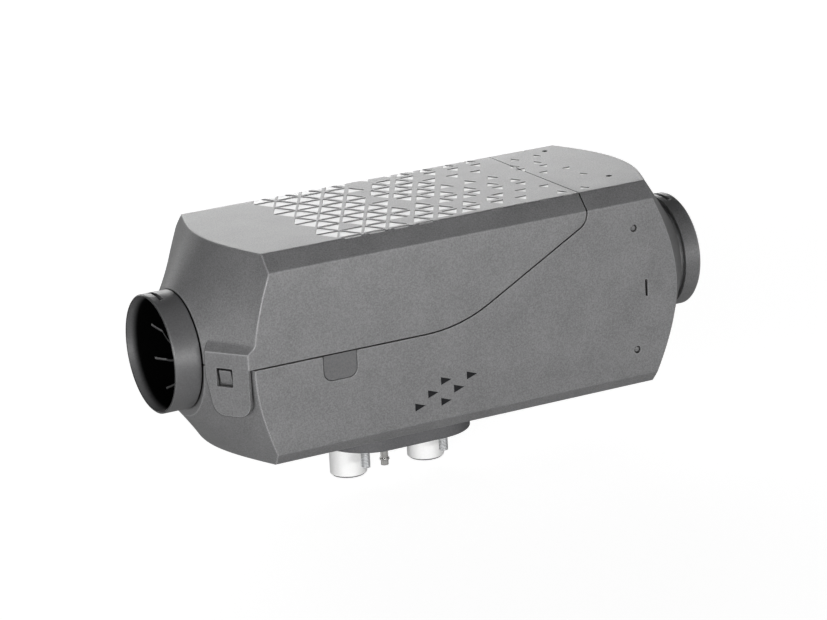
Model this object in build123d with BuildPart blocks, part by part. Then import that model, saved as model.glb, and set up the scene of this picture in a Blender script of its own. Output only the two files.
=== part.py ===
"""Air heater that burns diesel: blower, burner and heat exchanger inside a pointed plastic casing.

Millimetres.  +X runs with the warmed air, from the inlet ring to the outlet ring, +Z is up and
-Y is the front.  The origin is the middle of the mounting face, under the foot.
"""
import os
from math import cos, hypot, radians, sin, sqrt, tan

from build123d import *

os.makedirs("parts", exist_ok=True)

# Casing: an eight-sided box round the duct axis, pointed at both ends like a sharpened pencil
HALF_WIDTH = 67.0
RISE = 67.9               # duct axis to the top face
DEPTH = 65.35             # duct axis to the bottom face
TOP_CHAMFER_Y = 9.5
TOP_CHAMFER_Z = 10.0
BOTTOM_CHAMFER_Y = 5.0
BOTTOM_CHAMFER_Z = 7.4
LONG_EDGE_R = 1.5         # rounding of the long edges
WALL = 2.5
NOSE_X = -141.0           # flat end of the nose
NOSE_R = 38.0
NOSE_EDGE_X = -107.0      # where the nose reaches the top corners
NOSE_HOLLOW = 1.5         # how far the nose surface curves in from a straight cone
BELLY_DROP = 4.5          # the lower nose is turned about a line this far under the duct axis
TAIL_X = 204.0            # small end of the outlet cone
TAIL_EDGE_X = 165.6       # where the outlet cone reaches the top corners
RIB_HEIGHT = 4.0
RIB_ROOT = 0.5            # how far a rib runs into the wall it stands on
RIB_WIDTH = 1.8
SHELL_RIBS_X = (-88.0, 58.0, 88.0, 128.0)
COVER_RIBS_X = (-88.0, -30.0, 26.0, 72.0)

# Seam between the cover and the shell, heights from the duct axis
SEAM_Z = -0.4
SEAM_KNEE_X = 22.2        # where the level run turns up
SEAM_ANGLE = 28.5
SEAM_END_X = 116.3        # where it crosses the top
SEAM_BEND_R = 95.0
SEAM_CORNER_R = 10.0
SEAM_GAP = 0.6
HOOK_REACH = 5.5          # tabs of the cover under the fixed top panel
HOOK_WIDTH = 16.0
HOOK_THICK = 1.8
HOOK_GAP = 0.7
HOOKS_Y = (-32.0, 32.0)

# Relief on the top face: a lattice of triangular pockets that shrink and thin out to the outlet
RELIEF_SIDE = 17.0        # of the lattice's triangles
RELIEF_X = -61.5          # left border of the lattice
RELIEF_Y = -68.7          # its front line
RELIEF_END_X = 145.0
RELIEF_ROWS = 9
RELIEF_DEPTH = 0.8
RELIEF_RIDGE = 0.9        # flat between two pockets, at the left border
RELIEF_RIDGE_END = 6.5    # and at the outlet end

# Snap tongues of the cover, one on each front corner of the nose
TONGUE_CORNER_X = -124.5  # where the tongue's face meets the side of the casing
TONGUE_TURN = 35.6        # its face is turned this far from square to the duct
TONGUE_WIDTH = 30.4
TONGUE_THICK = 2.5
TONGUE_TOP = 9.4          # above the duct axis
TONGUE_BOTTOM = 31.0      # below the duct axis
TONGUE_TAPER = 5.0
TONGUE_R = 9.0
TONGUE_SLOPE = 12.0       # how far the sloped top runs back into the nose
TONGUE_SLOPE_R = 5.0      # hollow between the sloped top and the nose
WINDOW_WIDTH = 10.7
WINDOW_HEIGHT = 11.3
WINDOW_Z = -6.2
WINDOW_S = 13.3           # window middle from the tongue's free edge
LUG_GAP = 1.1
LUG_PROUD = 1.9
LUG_RAMP = 8.0
TONGUE_GAP = 0.8          # between the tongue and the pedestal behind it
PEDESTAL_INSET = 1.6

# Duct rings
RING_R = 37.5
RING_WALL = 2.6
RING_FLARE = 1.4
RING_FLARE_LENGTH = 5.0
RING_EDGE = 0.8
INLET_RIM_X = -159.7
INLET_COLLAR_X = -145.7
NECK_R = 36.0
NECK_GAP = 0.6
NECK_FLANGE_R = 38.3
NECK_FLANGE_THICK = 2.0
NECK_END_X = -131.0
RING_PLAY = 0.3
SADDLE_THICK = 2.0
OUTLET_RIM_X = 219.75
OUTLET_NECK = 4.0         # length of the neck between the outlet cone and its ring
OUTLET_NECK_R = 34.8
OUTLET_NECK_WALL = 2.2
CLAMP_SLOT_INSET = 6.2    # slot for a hose clip, back from the rim
CLAMP_SLOT_WIDTH = 2.6
CLAMP_SLOT_LENGTH = 19.0
VANE_COUNT = 10
VANE_THICK = 1.5
VANE_DEPTH = 10.0
VANE_DISH = 5.0           # how far the vanes' front edges drop back towards the hub
VANE_DISH_RIM = 6.0
VANE_X = -143.0
VANE_SWEEP = 22.0
VANE_HUB_R = 13.0
VANE_HUB_WALL = 1.8
VANE_START = 13.0

# Outlet hood, snapped into the open end of the shell
HOOD_FIT = 0.25
HOOD_WALL = 2.0
HOOD_SKIRT_X = 145.0
SNAP_R = 2.3              # windows of the snaps in the side walls
SNAP_TOP_R = 1.8
SNAP_GAP = 0.3
SNAP_SINK = 1.2           # how far the snaps stay behind the face
SNAP_TOP_X = 153.3
SNAPS_TOP_Y = (-34.5, 46.5)
SNAP_SIDE_X = 150.8
SNAP_SPREAD = 40.5        # of the side snaps, over and under the duct axis
SLOT_X = 158.9
SLOT_WIDTH = 1.4
SLOT_LENGTH = 11.0

# Cable openings under the seam, one each side
PORT_X = -62.6
PORT_WIDTH = 23.0
PORT_HEIGHT = 17.2
PORT_R = 6.0
PORT_FIT = 0.2
PORT_LIP = 2.0
PORT_LIP_THICK = 1.6
CABLE_R = 4.5
CABLE_COLLAR = 2.0
CABLE_COLLAR_LENGTH = 6.0

# Foot, seal, studs and pipe stubs, heights from the mounting face
SEAL_HEIGHT = 14.15       # the casing stands on it
SEAL_LENGTH = 100.0
SEAL_WIDTH = 89.0
SEAL_R = 30.0
SEAL_FLOOR = 2.0
SEAL_FIT = 0.3
FOOT_LENGTH = 86.0
FOOT_WIDTH = 74.0
FOOT_R = 22.0
FOOT_RISE = 1.35          # foot plate over the casing's floor
FOOT_GAP = 0.8
FOOT_SPLIT = 0.4
STUD_X = 28.2
STUD_Y = 25.0
STUD_R = 3.0
STUD_OUT = 15.0
STUD_IN = 13.0
STUD_TIP = 0.6
STUD_ROOT = 0.5           # how much thicker it is above the mounting face
STUB_X = 28.2
STUB_R = 12.0
STUB_BORE_R = 10.0
STUB_OUT = 26.0
STUB_EDGE = 1.2
STUB_ROOT = 0.3           # how much thicker it is above the mounting face
STUB_GAP = 0.6
FUEL_X = -9.0
FUEL_Y = -14.0
FUEL_R = 2.5
FUEL_BORE_R = 1.5
FUEL_OUT = 20.5
FUEL_BEAD_R = 3.2
FUEL_GAP = 0.5

# Heat exchanger
POT_R = 40.0
POT_WALL = 3.5
POT_X = -29.5
POT_LENGTH = 177.5
FIN_GAP = 2.35            # between the fins and the casing's ribs
FIN_THICK = 2.0
FIN_COUNT = 44
FIN_START_X = 2.0
FLANGE_R = 50.0
FLANGE_THICK = 5.0
BOSS_X = 104.0
BOSS_LENGTH = 28.0
BOSS_WIDTH = 18.0
BOSS_TOP = 51.0
BOSS_GAP = 2.0
FIN_END_GAP = 6.0
EXHAUST_NECK = 30.0
SENSOR_LENGTH = 24.0
SENSOR_WIDTH = 14.0
SENSOR_HEIGHT = 6.0
SENSOR_R = 2.0
CLIP_WIDTH = 8.0
CLIP_THICK = 0.8
CLIP_GAP = 0.1
CLIP_LEG = 6.0

# Burner
GASKET_THICK = 1.0
BURNER_FLANGE_THICK = 2.5
BURNER_FLANGE_R = 47.0
CHAMBER_R = 24.0
CHAMBER_WALL = 1.2
CHAMBER_LENGTH = 78.0
FLAME_END_GAP = 12.0      # between the flame tube and the end of the pot
FLAME_GAP = 0.3
MAT_THICK = 3.0
SWIRL_HOLES = 12
SWIRL_HOLE_R = 2.2
SWIRL_RING_R = 28.5
SWIRL_START = 15.0
AIR_ROWS = (27.0, 47.0)   # rows of air holes, along the chamber from its flange
MAT_FIT = 0.1
FLAME_LAP = 10.0
GLOW_X = -12.0
GLOW_R = 2.2
GLOW_GAP = 0.3
GLOW_DEPTH = 14.0
GLOW_BODY_R = 4.5
GLOW_BOSS = 3.0
GLOW_BOSS_R = 7.5
GLOW_HEX = 3.0
GLOW_HEX_R = 6.0
GLOW_HEAD = 6.0
GLOW_PIN = 4.0
FUEL_ENTRY_X = 13.0       # along the chamber from its flange
FUEL_ENTRY_Y = -8.0
FUEL_BEND_UP = 9.0
FUEL_BEND_R = 8.0
FUEL_BEAD_Z = 3.5
FUEL_BEAD = 1.2

# Blower and motor
HOUSING_R = 50.0
HOUSING_THICK = 18.0
NECK_WIDTH = 44.0
NECK_INSET = 2.0
INTAKE_R = 4.5
DUCT_ROOF = 3.0           # metal over the air passage in the foot
COVER_PLATE_THICK = 12.0
IMPELLER_R = 40.0
IMPELLER_THICK = 6.0
IMPELLER_GAP = 0.8
CHANNEL_MEAN_R = 34.0
CHANNEL_R = 6.0
IMPELLER_VANES = 36
IMPELLER_VANE = 1.4
SHAFT_R = 2.5
SHAFT_FIT = 0.03
SHAFT_END_GAP = 2.0
BEARING_R = 6.5
BEARING_THICK = 5.0
BEARING_FIT = 0.05
BEARING_SEAT_R = 9.0
BEARING_RACE = 1.4        # wall of each race
BEARING_GROOVE = 0.6
MOTOR_R = 21.0
MOTOR_WALL = 1.5
REGISTER_DEPTH = 2.5      # collar of the cover plate inside the motor can
BRUSH_SIZE = 4.0
BRUSH_LENGTH = 7.0
BRUSH_GAP = 0.1
BRUSH_INSET = 1.0         # how far the brush stands out of its holder
BRUSH_RING_THICK = 1.6
MOTOR_LENGTH = 42.0
MAGNET_THICK = 4.0
MAGNET_SPLIT = 6.0
ARMATURE_R = 13.0
ARMATURE_LENGTH = 18.0
ARMATURE_NECK_R = 5.5
SLOT_WIDE = 7.0
SLOT_LIP = 1.5
WINDING_THICK = 2.0
WINDING_R = 11.0
SLOT_COUNT = 5
COMMUTATOR_R = 6.0
COMMUTATOR_LENGTH = 7.0
COMMUTATOR_BARS = 10
COMMUTATOR_GAP = 0.5
FAN_TIP_R = 42.0
FAN_HUB_R = 15.0
FAN_LENGTH = 20.0
FAN_BLADES = 9
FAN_BLADE_THICK = 1.6
FAN_GAP = 3.0
FAN_ROOT_PITCH = 35.0
FAN_TIP_PITCH = 62.0
FAN_DOME = 4.0
FAN_RING = 3.0
FAN_RING_WALL = 1.6
FAN_NUT = 2.5
FAN_NUT_R = 4.5
SHAFT_TIP = 7.0

# Control unit above the motor
UNIT_LENGTH = 34.0
UNIT_WIDTH = 70.0
UNIT_BOTTOM = 28.0        # above the duct axis
UNIT_HEIGHT = 22.0
UNIT_WALL = 1.8
UNIT_R = 4.0
LID_THICK = 2.5
BOARD_THICK = 1.6
BOARD_GAP = 0.3
BOARD_DEPTH = 4.0
CHIP_HEIGHT = 2.5
CHIPS = ((-17.5, 11.0, 12.0), (14.0, 8.5, 9.0))   # place across the board, length, width
PILLAR_INSET = 11.0
PILLAR_R = 2.6
LID_CHAMFER = 0.8
LID_GROOVE = 2.0
LID_GROOVE_LENGTH = 20.0
LID_GROOVES_Y = (-12.0, -4.0, 4.0, 12.0)
LID_SCREW_R = 1.5
LID_SCREW_HEAD_R = 2.8
LID_SCREW_HEAD = 1.8
SOCKETS_Y = (-20.0, 0.0, 20.0)
SOCKET_WIDTH = 13.0
SOCKET_HEIGHT = 9.0
SOCKET_OUT = 6.0
SOCKET_R = 1.0

# Fasteners
SCREW_R = 2.5
SCREW_HEAD_R = 4.25
SCREW_HEAD = 4.0
SCREW_DRIVE_R = 2.0
SCREW_FIT = 0.05
JOIN_SCREW_R = 45.0       # pitch radius of the long screws that hold blower, burner and exchanger
JOIN_SCREW_TILT = 20.0    # their angle from level
JOIN_DEPTH = 4.0          # thread in the exchanger flange

# Worked out from the sizes above
CORNER_R = hypot(HALF_WIDTH, RISE - TOP_CHAMFER_Z)
NOSE_SLOPE = (NOSE_EDGE_X - NOSE_X) / (CORNER_R - NOSE_R)
TAIL_SLOPE = (TAIL_X - TAIL_EDGE_X) / (CORNER_R - NOSE_R)
AXIS_Z = SEAL_HEIGHT + DEPTH
FLOOR_Z = SEAL_HEIGHT + WALL
FOOT_TOP = FLOOR_Z + FOOT_RISE
DUCT_R = RING_R - RING_WALL
FIN_R = DEPTH - WALL - RIB_HEIGHT - FIN_GAP
MARGIN = 12.0             # how far cutting solids reach past what they cut
DUCT = Axis((0, 0, AXIS_Z), (1, 0, 0))
WIDE = HALF_WIDTH + MARGIN


def lengthwise(drop=0.0):
    """The upright plane along the duct axis, lowered by drop: x runs with the air, y is up."""
    return Plane(origin=(0, 0, AXIS_Z - drop), x_dir=(1, 0, 0), z_dir=(0, -1, 0))


def across(x):
    """The plane square to the duct axis at x, with its own x along Y and its y up."""
    return Plane(origin=(x, 0, AXIS_Z), x_dir=(0, 1, 0), z_dir=(1, 0, 0))


def level(z):
    """The level plane at height z above the mounting face."""
    return Plane.XY.offset(z)


def turned(points, mode=Mode.ADD):
    """Turns an outline of (x, radius) points about the duct axis."""
    with BuildSketch(lengthwise()) as outline:
        with BuildLine():
            Polyline(*points, close=True)
        make_face()
    revolve(outline.sketch, axis=DUCT, mode=mode)


def disc(x, length, radius, mode=Mode.ADD):
    """A round slice about the duct axis, from x on."""
    turned([(x, 0), (x + length, 0), (x + length, radius), (x, radius)], mode)


def tube(x, length, outer, inner):
    """A round pipe about the duct axis, from x on."""
    turned([(x, inner), (x + length, inner), (x + length, outer), (x, outer)])


def post(x, y, bottom, top, radius, mode=Mode.ADD):
    """An upright round bar between two heights above the mounting face."""
    with BuildSketch(level(bottom)) as foot:
        with Locations((x, y)):
            Circle(radius)
    extrude(foot.sketch, amount=top - bottom, mode=mode)


def bars(places, x, length, radius, mode=Mode.ADD):
    """Round bars along X at (y, height over the duct axis) places, from x on."""
    with BuildSketch(across(x)) as ends:
        with Locations(*places):
            Circle(radius)
    extrude(ends.sketch, amount=length, mode=mode)


def ring_places(radius, count, start):
    """Evenly spaced (y, height) places on a circle about the duct axis."""
    angles = [radians(start + 360 * i / count) for i in range(count)]
    return [(radius * cos(a), radius * sin(a)) for a in angles]


def polar(radius, angle):
    """The (y, height) place at a radius and an angle from +Y."""
    return (radius * cos(radians(angle)), radius * sin(radians(angle)))


def clamp_slot(x):
    """A slot across the top of a duct ring, for the hook of a hose clip."""
    with BuildSketch(level(AXIS_Z + DUCT_R - RING_WALL)) as slot:
        with Locations((x, 0)):
            Rectangle(CLAMP_SLOT_WIDTH, CLAMP_SLOT_LENGTH)
    extrude(slot.sketch, amount=3 * RING_WALL, mode=Mode.SUBTRACT)


def save(part, name):
    """Labels a finished piece and writes its STEP file."""
    part.label = name
    export_step(part, f"parts/{name}.step")


# ---- Casing outline ----

def section(inset=0.0):
    """The casing's eight-sided section, with its sides moved in by inset."""
    low_corner = BOTTOM_CHAMFER_Z - DEPTH
    with BuildSketch() as outline:
        with BuildLine():
            Polyline(
                (TOP_CHAMFER_Y - HALF_WIDTH, RISE),
                (HALF_WIDTH - TOP_CHAMFER_Y, RISE),
                (HALF_WIDTH, RISE - TOP_CHAMFER_Z),
                (HALF_WIDTH, low_corner),
                (HALF_WIDTH - BOTTOM_CHAMFER_Y, -DEPTH),
                (BOTTOM_CHAMFER_Y - HALF_WIDTH, -DEPTH),
                (-HALF_WIDTH, low_corner),
                (-HALF_WIDTH, RISE - TOP_CHAMFER_Z),
                close=True,
            )
        make_face()
        if inset:
            offset(amount=-inset, kind=Kind.INTERSECTION)
        else:
            fillet(outline.vertices(), radius=LONG_EDGE_R)
    return outline.sketch


def slab(x, length, inset=0.0, mode=Mode.ADD):
    """A slice of the casing's section from x on, with its sides moved in by inset."""
    with BuildSketch(across(x)) as face:
        add(section(inset))
    extrude(face.sketch, amount=length, mode=mode)


def frame_ribs(places):
    """Stiffening ribs round the inside of the wall, one from each x on."""
    for x in places:
        with BuildSketch(across(x)) as rib:
            add(section(WALL - RIB_ROOT))
            add(section(WALL + RIB_HEIGHT), mode=Mode.SUBTRACT)
        extrude(rib.sketch, amount=RIB_WIDTH)


def pointed_body(inset, drop):
    """The casing with its nose, moved in by inset, and square and open-ended at the tail."""
    shift = inset * hypot(1, NOSE_SLOPE)
    reach = CORNER_R + MARGIN
    middle_r = (NOSE_R + CORNER_R) / 2
    middle_x = (NOSE_X + NOSE_EDGE_X) / 2 + NOSE_HOLLOW
    far = TAIL_X + MARGIN
    with BuildPart() as body:
        slab(NOSE_X, far - NOSE_X, inset)
        with BuildSketch(lengthwise(drop)) as nose:
            with BuildLine():
                flat = Line((NOSE_X + shift, 0), (NOSE_X + shift, NOSE_R))
                curve = ThreePointArc(
                    flat @ 1, (middle_x + shift, middle_r), (NOSE_EDGE_X + shift, CORNER_R)
                )
                Polyline(
                    curve @ 1,
                    (NOSE_EDGE_X + shift + MARGIN * NOSE_SLOPE, reach),
                    (far, reach),
                    (far, 0),
                    flat @ 0,
                )
            make_face()
        revolve(nose.sketch, axis=Axis((0, 0, AXIS_Z - drop), (1, 0, 0)), mode=Mode.INTERSECT)
    return body.part


def trim_tail(inset=0.0):
    """Cuts the part being built to the outlet cone, moved in by inset."""
    shift = inset * hypot(1, TAIL_SLOPE)
    reach = CORNER_R + MARGIN
    tip = TAIL_X + NOSE_R * TAIL_SLOPE - shift
    left = NOSE_X - MARGIN
    turned([(left, 0), (tip, 0), (tip - reach * TAIL_SLOPE, reach), (left, reach)], Mode.INTERSECT)


def over_seam(gap=0.0):
    """The side view of all that lies over the seam, grown by gap."""
    left = NOSE_X - 2 * MARGIN
    top = RISE + MARGIN
    corner_z = SEAM_Z + (SEAM_END_X - SEAM_KNEE_X) * tan(radians(SEAM_ANGLE))
    with BuildSketch(lengthwise()) as region:
        with BuildLine():
            seam = FilletPolyline(
                (left, SEAM_Z),
                (SEAM_KNEE_X, SEAM_Z),
                (SEAM_END_X, corner_z),
                (SEAM_END_X, top),
                radius=[SEAM_BEND_R, SEAM_CORNER_R],
            )
            Polyline(seam @ 1, (left, top), seam @ 0)
        make_face()
        if gap:
            offset(amount=gap, kind=Kind.INTERSECTION)
    return region.sketch


def both_sides(piece, mode=Mode.ADD):
    """Puts a front piece, and its mirror image at the back, on the part being built."""
    add(piece, mode=mode)
    add(mirror(piece, about=Plane.XZ, mode=Mode.PRIVATE), mode=mode)


def relief_pockets():
    """The pockets of the relief; more and more places of the lattice stay flat to the outlet."""
    row_height = RELIEF_SIDE * sqrt(3) / 2
    columns = int(2 * (RELIEF_END_X - RELIEF_X) / RELIEF_SIDE)
    with BuildPart() as pockets:
        with BuildSketch(level(AXIS_Z + RISE - RELIEF_DEPTH)) as triangles:
            for row in range(RELIEF_ROWS):
                for column in range(columns):
                    fade = (column + 1) / columns
                    if (5 * column + 3 * row * row) % 11 < 9 * fade * fade:
                        continue
                    ridge = RELIEF_RIDGE + (RELIEF_RIDGE_END - RELIEF_RIDGE) * fade
                    upright = 1 if (row + column) % 2 == 0 else -1
                    x = RELIEF_X + (column + 1) * RELIEF_SIDE / 2
                    y = RELIEF_Y + (row + 1 / 2) * row_height - upright * row_height / 6
                    with Locations((x, y)):
                        RegularPolygon(2 * row_height / 3 - ridge, 3, rotation=90 * upright)
        extrude(triangles.sketch, amount=MARGIN)
    return pockets.part


COVER_OUT = pointed_body(0.0, 0.0)
COVER_IN = pointed_body(WALL, 0.0)
SHELL_OUT = pointed_body(0.0, BELLY_DROP)
SHELL_IN = pointed_body(WALL, BELLY_DROP)
RELIEF = relief_pockets()


# ---- Snap tongues: one at each front corner of the nose, with the shell's pedestal behind it ----

def tongue_plane(depth=0.0):
    """The face of the front tongue, moved in by depth: x runs to the side wall, y is up."""
    turn = radians(TONGUE_TURN)
    out = Vector(-cos(turn), -sin(turn), 0)
    along = Vector(sin(turn), -cos(turn), 0)
    corner = Vector(TONGUE_CORNER_X, -HALF_WIDTH, AXIS_Z)
    return Plane(origin=corner - along * TONGUE_WIDTH - out * depth, x_dir=along, z_dir=out)


def tongue_edge(s):
    """The plane square to the tongue, s from its free edge: x is the depth, y is up."""
    face = tongue_plane()
    return Plane(origin=face.origin + face.x_dir * s, x_dir=-face.z_dir, z_dir=face.x_dir)


def tongue_outline(top, inset=0.0):
    """The tongue's U shape up to a height, shrunk by inset."""
    with BuildSketch() as outline:
        with BuildLine():
            Polyline(
                (inset, top),
                (inset, WINDOW_Z),
                (TONGUE_TAPER + inset, inset - TONGUE_BOTTOM),
                (TONGUE_WIDTH - inset, inset - TONGUE_BOTTOM),
                (TONGUE_WIDTH - inset, top),
                close=True,
            )
        make_face()
        fillet(outline.vertices().group_by(Axis.Y)[0], radius=TONGUE_R - inset)
    return outline.sketch


with BuildPart() as tongue_head:
    with BuildSketch(tongue_edge(0)) as slope:
        with BuildLine():
            Polyline(
                (0, SEAM_Z),
                (0, TONGUE_TOP),
                (TONGUE_SLOPE, TONGUE_TOP + TONGUE_SLOPE),
                (TONGUE_SLOPE, SEAM_Z),
                close=True,
            )
        make_face()
    extrude(slope.sketch, amount=TONGUE_WIDTH + MARGIN)
    slab(NOSE_X - MARGIN, 4 * MARGIN, mode=Mode.INTERSECT)

with BuildPart() as tongue_pad:
    with BuildSketch(tongue_plane()) as pad_face:
        add(tongue_outline(TONGUE_TOP))
    extrude(pad_face.sketch, amount=-TONGUE_THICK)
    with BuildSketch(tongue_plane()) as window:
        with Locations((WINDOW_S, WINDOW_Z)):
            Rectangle(WINDOW_WIDTH, WINDOW_HEIGHT)
    extrude(window.sketch, amount=-TONGUE_THICK, mode=Mode.SUBTRACT)

with BuildPart() as pedestal:
    with BuildSketch(tongue_plane(TONGUE_THICK + TONGUE_GAP)) as pedestal_face:
        add(tongue_outline(SEAM_Z - SEAM_GAP - TONGUE_GAP, PEDESTAL_INSET))
    extrude(pedestal_face.sketch, amount=-TONGUE_SLOPE)
    lug_low = WINDOW_Z - WINDOW_HEIGHT / 2 + LUG_GAP
    lug_high = WINDOW_Z + WINDOW_HEIGHT / 2 - LUG_GAP
    lug_face = TONGUE_THICK - LUG_PROUD
    lug_root = TONGUE_THICK + TONGUE_GAP
    lug_width = WINDOW_WIDTH - 2 * LUG_GAP
    with BuildSketch(tongue_edge(WINDOW_S - lug_width / 2)) as lug:
        with BuildLine():
            Polyline(
                (lug_root, lug_low),
                (TONGUE_THICK, lug_low),
                (lug_face, lug_low + LUG_RAMP),
                (lug_face, lug_high),
                (lug_root, lug_high),
                close=True,
            )
        make_face()
    extrude(lug.sketch, amount=lug_width)
    add(pointed_body(WALL - RIB_ROOT, BELLY_DROP), mode=Mode.SUBTRACT)


# ---- Upper cover: snaps down at the nose and hooks under the fixed panel at its far end ----

with BuildPart() as upper_cover:
    add(COVER_OUT)
    both_sides(tongue_head.part)
    slope_middle = AXIS_Z + TONGUE_TOP + TONGUE_SLOPE / 2
    slope_edges = upper_cover.edges().filter_by_position(
        Axis.Z, slope_middle - TONGUE_SLOPE_R, slope_middle + TONGUE_SLOPE_R
    )
    fillet(slope_edges.filter_by(lambda edge: edge.length > TONGUE_WIDTH + 1), TONGUE_SLOPE_R)
    add(COVER_IN, mode=Mode.SUBTRACT)
    add(RELIEF, mode=Mode.SUBTRACT)
    frame_ribs(COVER_RIBS_X)
    extrude(over_seam(), amount=WIDE, both=True, mode=Mode.INTERSECT)
    both_sides(tongue_pad.part)
    disc(NOSE_X - MARGIN, 2 * MARGIN, NECK_R + NECK_GAP, Mode.SUBTRACT)
    hook_top = RISE - WALL - HOOK_GAP
    for y in HOOKS_Y:
        with BuildSketch(lengthwise().offset(-y - HOOK_WIDTH / 2)) as hook:
            with BuildLine():
                Polyline(
                    (SEAM_END_X - HOOK_REACH, RISE - WALL + RIB_ROOT),
                    (SEAM_END_X - HOOK_GAP, RISE - WALL + RIB_ROOT),
                    (SEAM_END_X - HOOK_GAP, RISE - WALL),
                    (SEAM_END_X, hook_top),
                    (SEAM_END_X + HOOK_REACH, hook_top),
                    (SEAM_END_X + HOOK_REACH, hook_top - HOOK_THICK),
                    (SEAM_END_X - HOOK_REACH / 2, hook_top - HOOK_THICK),
                    close=True,
                )
            make_face()
        extrude(hook.sketch, amount=HOOK_WIDTH)


# ---- Lower shell: floor, sides and the fixed top panel at the outlet end ----

with BuildPart() as ring_saddle:
    saddle_x = NOSE_X + WALL * hypot(1, NOSE_SLOPE) + NECK_FLANGE_THICK + 2 * RING_PLAY
    disc(saddle_x, SADDLE_THICK, CORNER_R)
    disc(saddle_x, SADDLE_THICK, NECK_R + NECK_GAP, Mode.SUBTRACT)
    add(SHELL_OUT, mode=Mode.INTERSECT)

with BuildPart() as port_cutter:
    with BuildSketch(lengthwise()) as port:
        with Locations((PORT_X, SEAM_Z)):
            RectangleRounded(PORT_WIDTH, 2 * PORT_HEIGHT, PORT_R)
    extrude(port.sketch, amount=HALF_WIDTH + MARGIN)

with BuildPart() as side_windows:
    with BuildSketch(lengthwise()) as windows:
        with Locations((SNAP_SIDE_X, SNAP_SPREAD), (SNAP_SIDE_X, -SNAP_SPREAD)):
            Circle(SNAP_R)
        with Locations((SLOT_X, SEAM_Z)):
            Rectangle(SLOT_WIDTH, SLOT_LENGTH)
    extrude(windows.sketch, amount=HALF_WIDTH + MARGIN)

with BuildPart() as lower_shell:
    add(SHELL_OUT)
    trim_tail()
    add(SHELL_IN, mode=Mode.SUBTRACT)
    add(RELIEF, mode=Mode.SUBTRACT)
    frame_ribs(SHELL_RIBS_X)
    add(ring_saddle.part)
    both_sides(port_cutter.part, Mode.SUBTRACT)
    extrude(over_seam(SEAM_GAP), amount=WIDE, both=True, mode=Mode.SUBTRACT)
    both_sides(pedestal.part)
    disc(NOSE_X - MARGIN, 2 * MARGIN, NECK_R + NECK_GAP, Mode.SUBTRACT)
    with BuildSketch(level(SEAL_HEIGHT)) as foot_opening:
        RectangleRounded(FOOT_LENGTH + 2 * FOOT_GAP, FOOT_WIDTH + 2 * FOOT_GAP, FOOT_R + FOOT_GAP)
    extrude(foot_opening.sketch, amount=WALL, mode=Mode.SUBTRACT)
    both_sides(side_windows.part, Mode.SUBTRACT)
    with BuildSketch(level(AXIS_Z + RISE - WALL)) as top_windows:
        with Locations(*[(SNAP_TOP_X, y) for y in SNAPS_TOP_Y]):
            Circle(SNAP_TOP_R)
    extrude(top_windows.sketch, amount=WALL, mode=Mode.SUBTRACT)


# ---- Outlet hood: cone and ring in one moulding, with a skirt that snaps into the shell ----

with BuildPart() as hood_hollow:
    slab(HOOD_SKIRT_X, OUTLET_RIM_X - HOOD_SKIRT_X, WALL + HOOD_FIT + HOOD_WALL)
    trim_tail(WALL)

with BuildPart() as outlet_hood:
    slab(HOOD_SKIRT_X, OUTLET_RIM_X - HOOD_SKIRT_X, WALL + HOOD_FIT)
    trim_tail()
    ring_root_x = TAIL_X - OUTLET_NECK
    collar_x = TAIL_X + OUTLET_NECK
    neck_bore = OUTLET_NECK_R - OUTLET_NECK_WALL
    disc(TAIL_X, OUTLET_RIM_X - TAIL_X, CORNER_R, Mode.SUBTRACT)
    turned([
        (ring_root_x, 0),
        (OUTLET_RIM_X, 0),
        (OUTLET_RIM_X, RING_R - RING_EDGE),
        (OUTLET_RIM_X - RING_EDGE, RING_R),
        (collar_x, RING_R),
        (collar_x, OUTLET_NECK_R),
        (ring_root_x, OUTLET_NECK_R),
    ])
    add(hood_hollow.part, mode=Mode.SUBTRACT)
    turned([
        (HOOD_SKIRT_X, 0),
        (OUTLET_RIM_X, 0),
        (OUTLET_RIM_X, DUCT_R + RING_FLARE),
        (OUTLET_RIM_X - RING_FLARE_LENGTH, DUCT_R),
        (collar_x + OUTLET_NECK_WALL, DUCT_R),
        (collar_x, neck_bore),
        (HOOD_SKIRT_X, neck_bore),
    ], Mode.SUBTRACT)
    clamp_slot(OUTLET_RIM_X - CLAMP_SLOT_INSET)
    snap_reach = WALL - SNAP_SINK
    for side in (-1, 1):
        wall_y = side * (HALF_WIDTH - WALL - HOOD_FIT)
        for height in (-SNAP_SPREAD, SNAP_SPREAD):
            with BuildSketch(lengthwise().offset(-wall_y)) as side_snap:
                with Locations((SNAP_SIDE_X, height)):
                    Circle(SNAP_R - SNAP_GAP)
            extrude(side_snap.sketch, amount=-side * (snap_reach + HOOD_FIT))
            extrude(side_snap.sketch, amount=side * HOOD_WALL / 2)
    top_z = AXIS_Z + RISE - WALL - HOOD_FIT
    snap_top = top_z + HOOD_FIT + snap_reach
    for y in SNAPS_TOP_Y:
        post(SNAP_TOP_X, y, top_z - HOOD_WALL / 2, snap_top, SNAP_TOP_R - SNAP_GAP)


# ---- Inlet ring with its guide vanes, held by its flange between the nose and the saddle ----

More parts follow.
